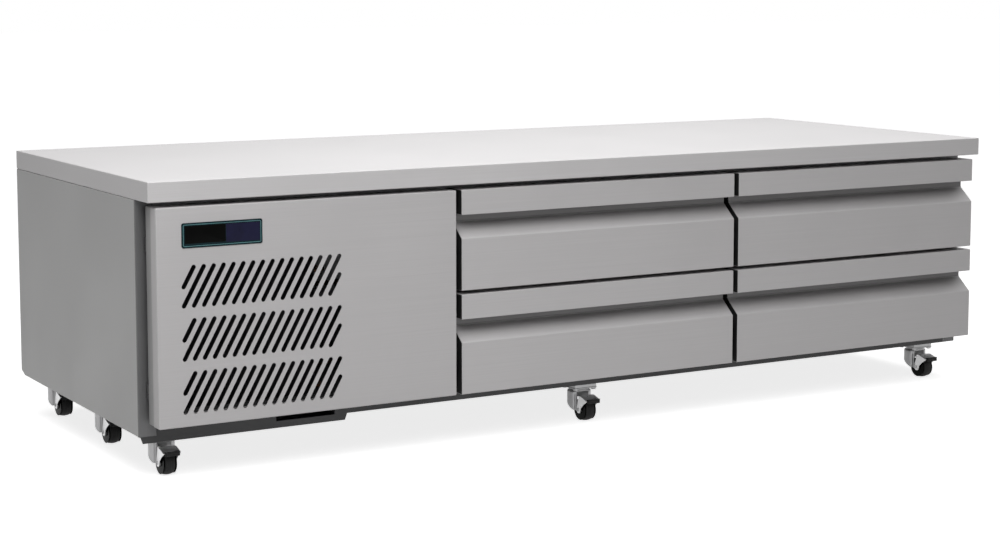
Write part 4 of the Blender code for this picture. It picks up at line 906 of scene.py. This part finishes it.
def shown(owner):
    """1 for the rays that show a thing as it looks, camera, glossy and transmission, else 0."""
    path = shade(owner, "LightPath", {}).outputs
    seen = shade(owner, "Math", {0: path["Is Camera Ray"], 1: path["Is Glossy Ray"]}, operation="MAXIMUM")
    both = shade(owner, "Math", {0: seen.outputs[0], 1: path["Is Transmission Ray"]}, operation="MAXIMUM")
    return both.outputs[0]


def floor_finish(name):
    """Pale floor: plain diffuse for the light it sends on, near white with its shadow to see.

    What is seen glows too, at 0.8 within a metre and a half and at 1 from five metres away,
    where the lamps no longer light it.
    """
    material, skin = fresh_material(name)
    tree = material.node_tree
    tree.nodes.remove(skin)
    place = shade(material, "TexCoord", {}).outputs["Object"]
    away = shade(material, "VectorMath", {0: place}, operation="LENGTH").outputs["Value"]
    level = shade(material, "MapRange", {"Value": away, "From Min": 1.5, "From Max": 5.0,
                                         "To Min": 0.80, "To Max": 1.0})
    bounce = shade(material, "BsdfDiffuse", {"Color": (0.45, 0.45, 0.45, 1)})
    matt = shade(material, "BsdfDiffuse", {"Color": (0.80, 0.80, 0.80, 1)})
    glow = shade(material, "Emission", {"Color": (1, 1, 1, 1), "Strength": level.outputs[0]})
    both = shade(material, "AddShader", {0: matt.outputs[0], 1: glow.outputs[0]})
    mix = shade(material, "MixShader", {0: shown(material), 1: bounce.outputs[0], 2: both.outputs[0]})
    tree.links.new(mix.outputs[0], tree.nodes["Material Output"].inputs["Surface"])
    return material


reach = 30.0
mesh = bpy.data.meshes.new("floor")
ground = [(-reach, -reach, 0), (reach, -reach, 0), (reach, reach, 0), (-reach, reach, 0)]
mesh.from_pydata(ground, [], [[0, 1, 2, 3]])
mesh.materials.append(floor_finish("floor_white"))
floor = bpy.data.objects.new("floor", mesh)
bpy.context.scene.collection.objects.link(floor)
floor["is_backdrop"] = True

world = bpy.data.worlds.new("surround")
bpy.context.scene.world = world
world.use_nodes = True
backdrop = world.node_tree.nodes["Background"]
strength = shade(world, "MapRange", {"Value": shown(world), "To Min": 0.03, "To Max": 1.0})
world.node_tree.links.new(strength.outputs[0], backdrop.inputs["Strength"])
backdrop.inputs["Color"].default_value = (1, 1, 1, 1)


def soft_lamp(name, place, target, size, power):
    """A square area lamp at a place, turned to face its target."""
    light = bpy.data.lights.new(name, "AREA")
    light.size = size
    light.energy = power
    lamp = bpy.data.objects.new(name, light)
    lamp.location = place
    lamp.rotation_euler = (Vector(target) - Vector(place)).to_track_quat("-Z", "Y").to_euler()
    bpy.context.scene.collection.objects.link(lamp)


soft_lamp("overhead", (0.7, 0.3, 2.6), (0.45, 0.0, 0.5), 2.8, 48)
soft_lamp("key", (-1.7, -1.7, 2.5), (-0.6, -0.3, 0.5), 1.6, 38)
soft_lamp("front", (-1.2, -2.3, 2.6), (-0.4, -0.3, 0.5), 2.0, 31)

camera = bpy.data.cameras.new("camera")
camera.sensor_width = 36.0
camera.lens = 73.658
camera.shift_y = -0.088
eye = bpy.data.objects.new("camera", camera)
eye.location = (-2.41238, -4.04954, 0.97882)
eye.rotation_euler = (radians(84), 0, radians(-30.345128))
bpy.context.scene.collection.objects.link(eye)
bpy.context.scene.camera = eye
bpy.context.scene.view_settings.view_transform = "Standard"

low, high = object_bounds()
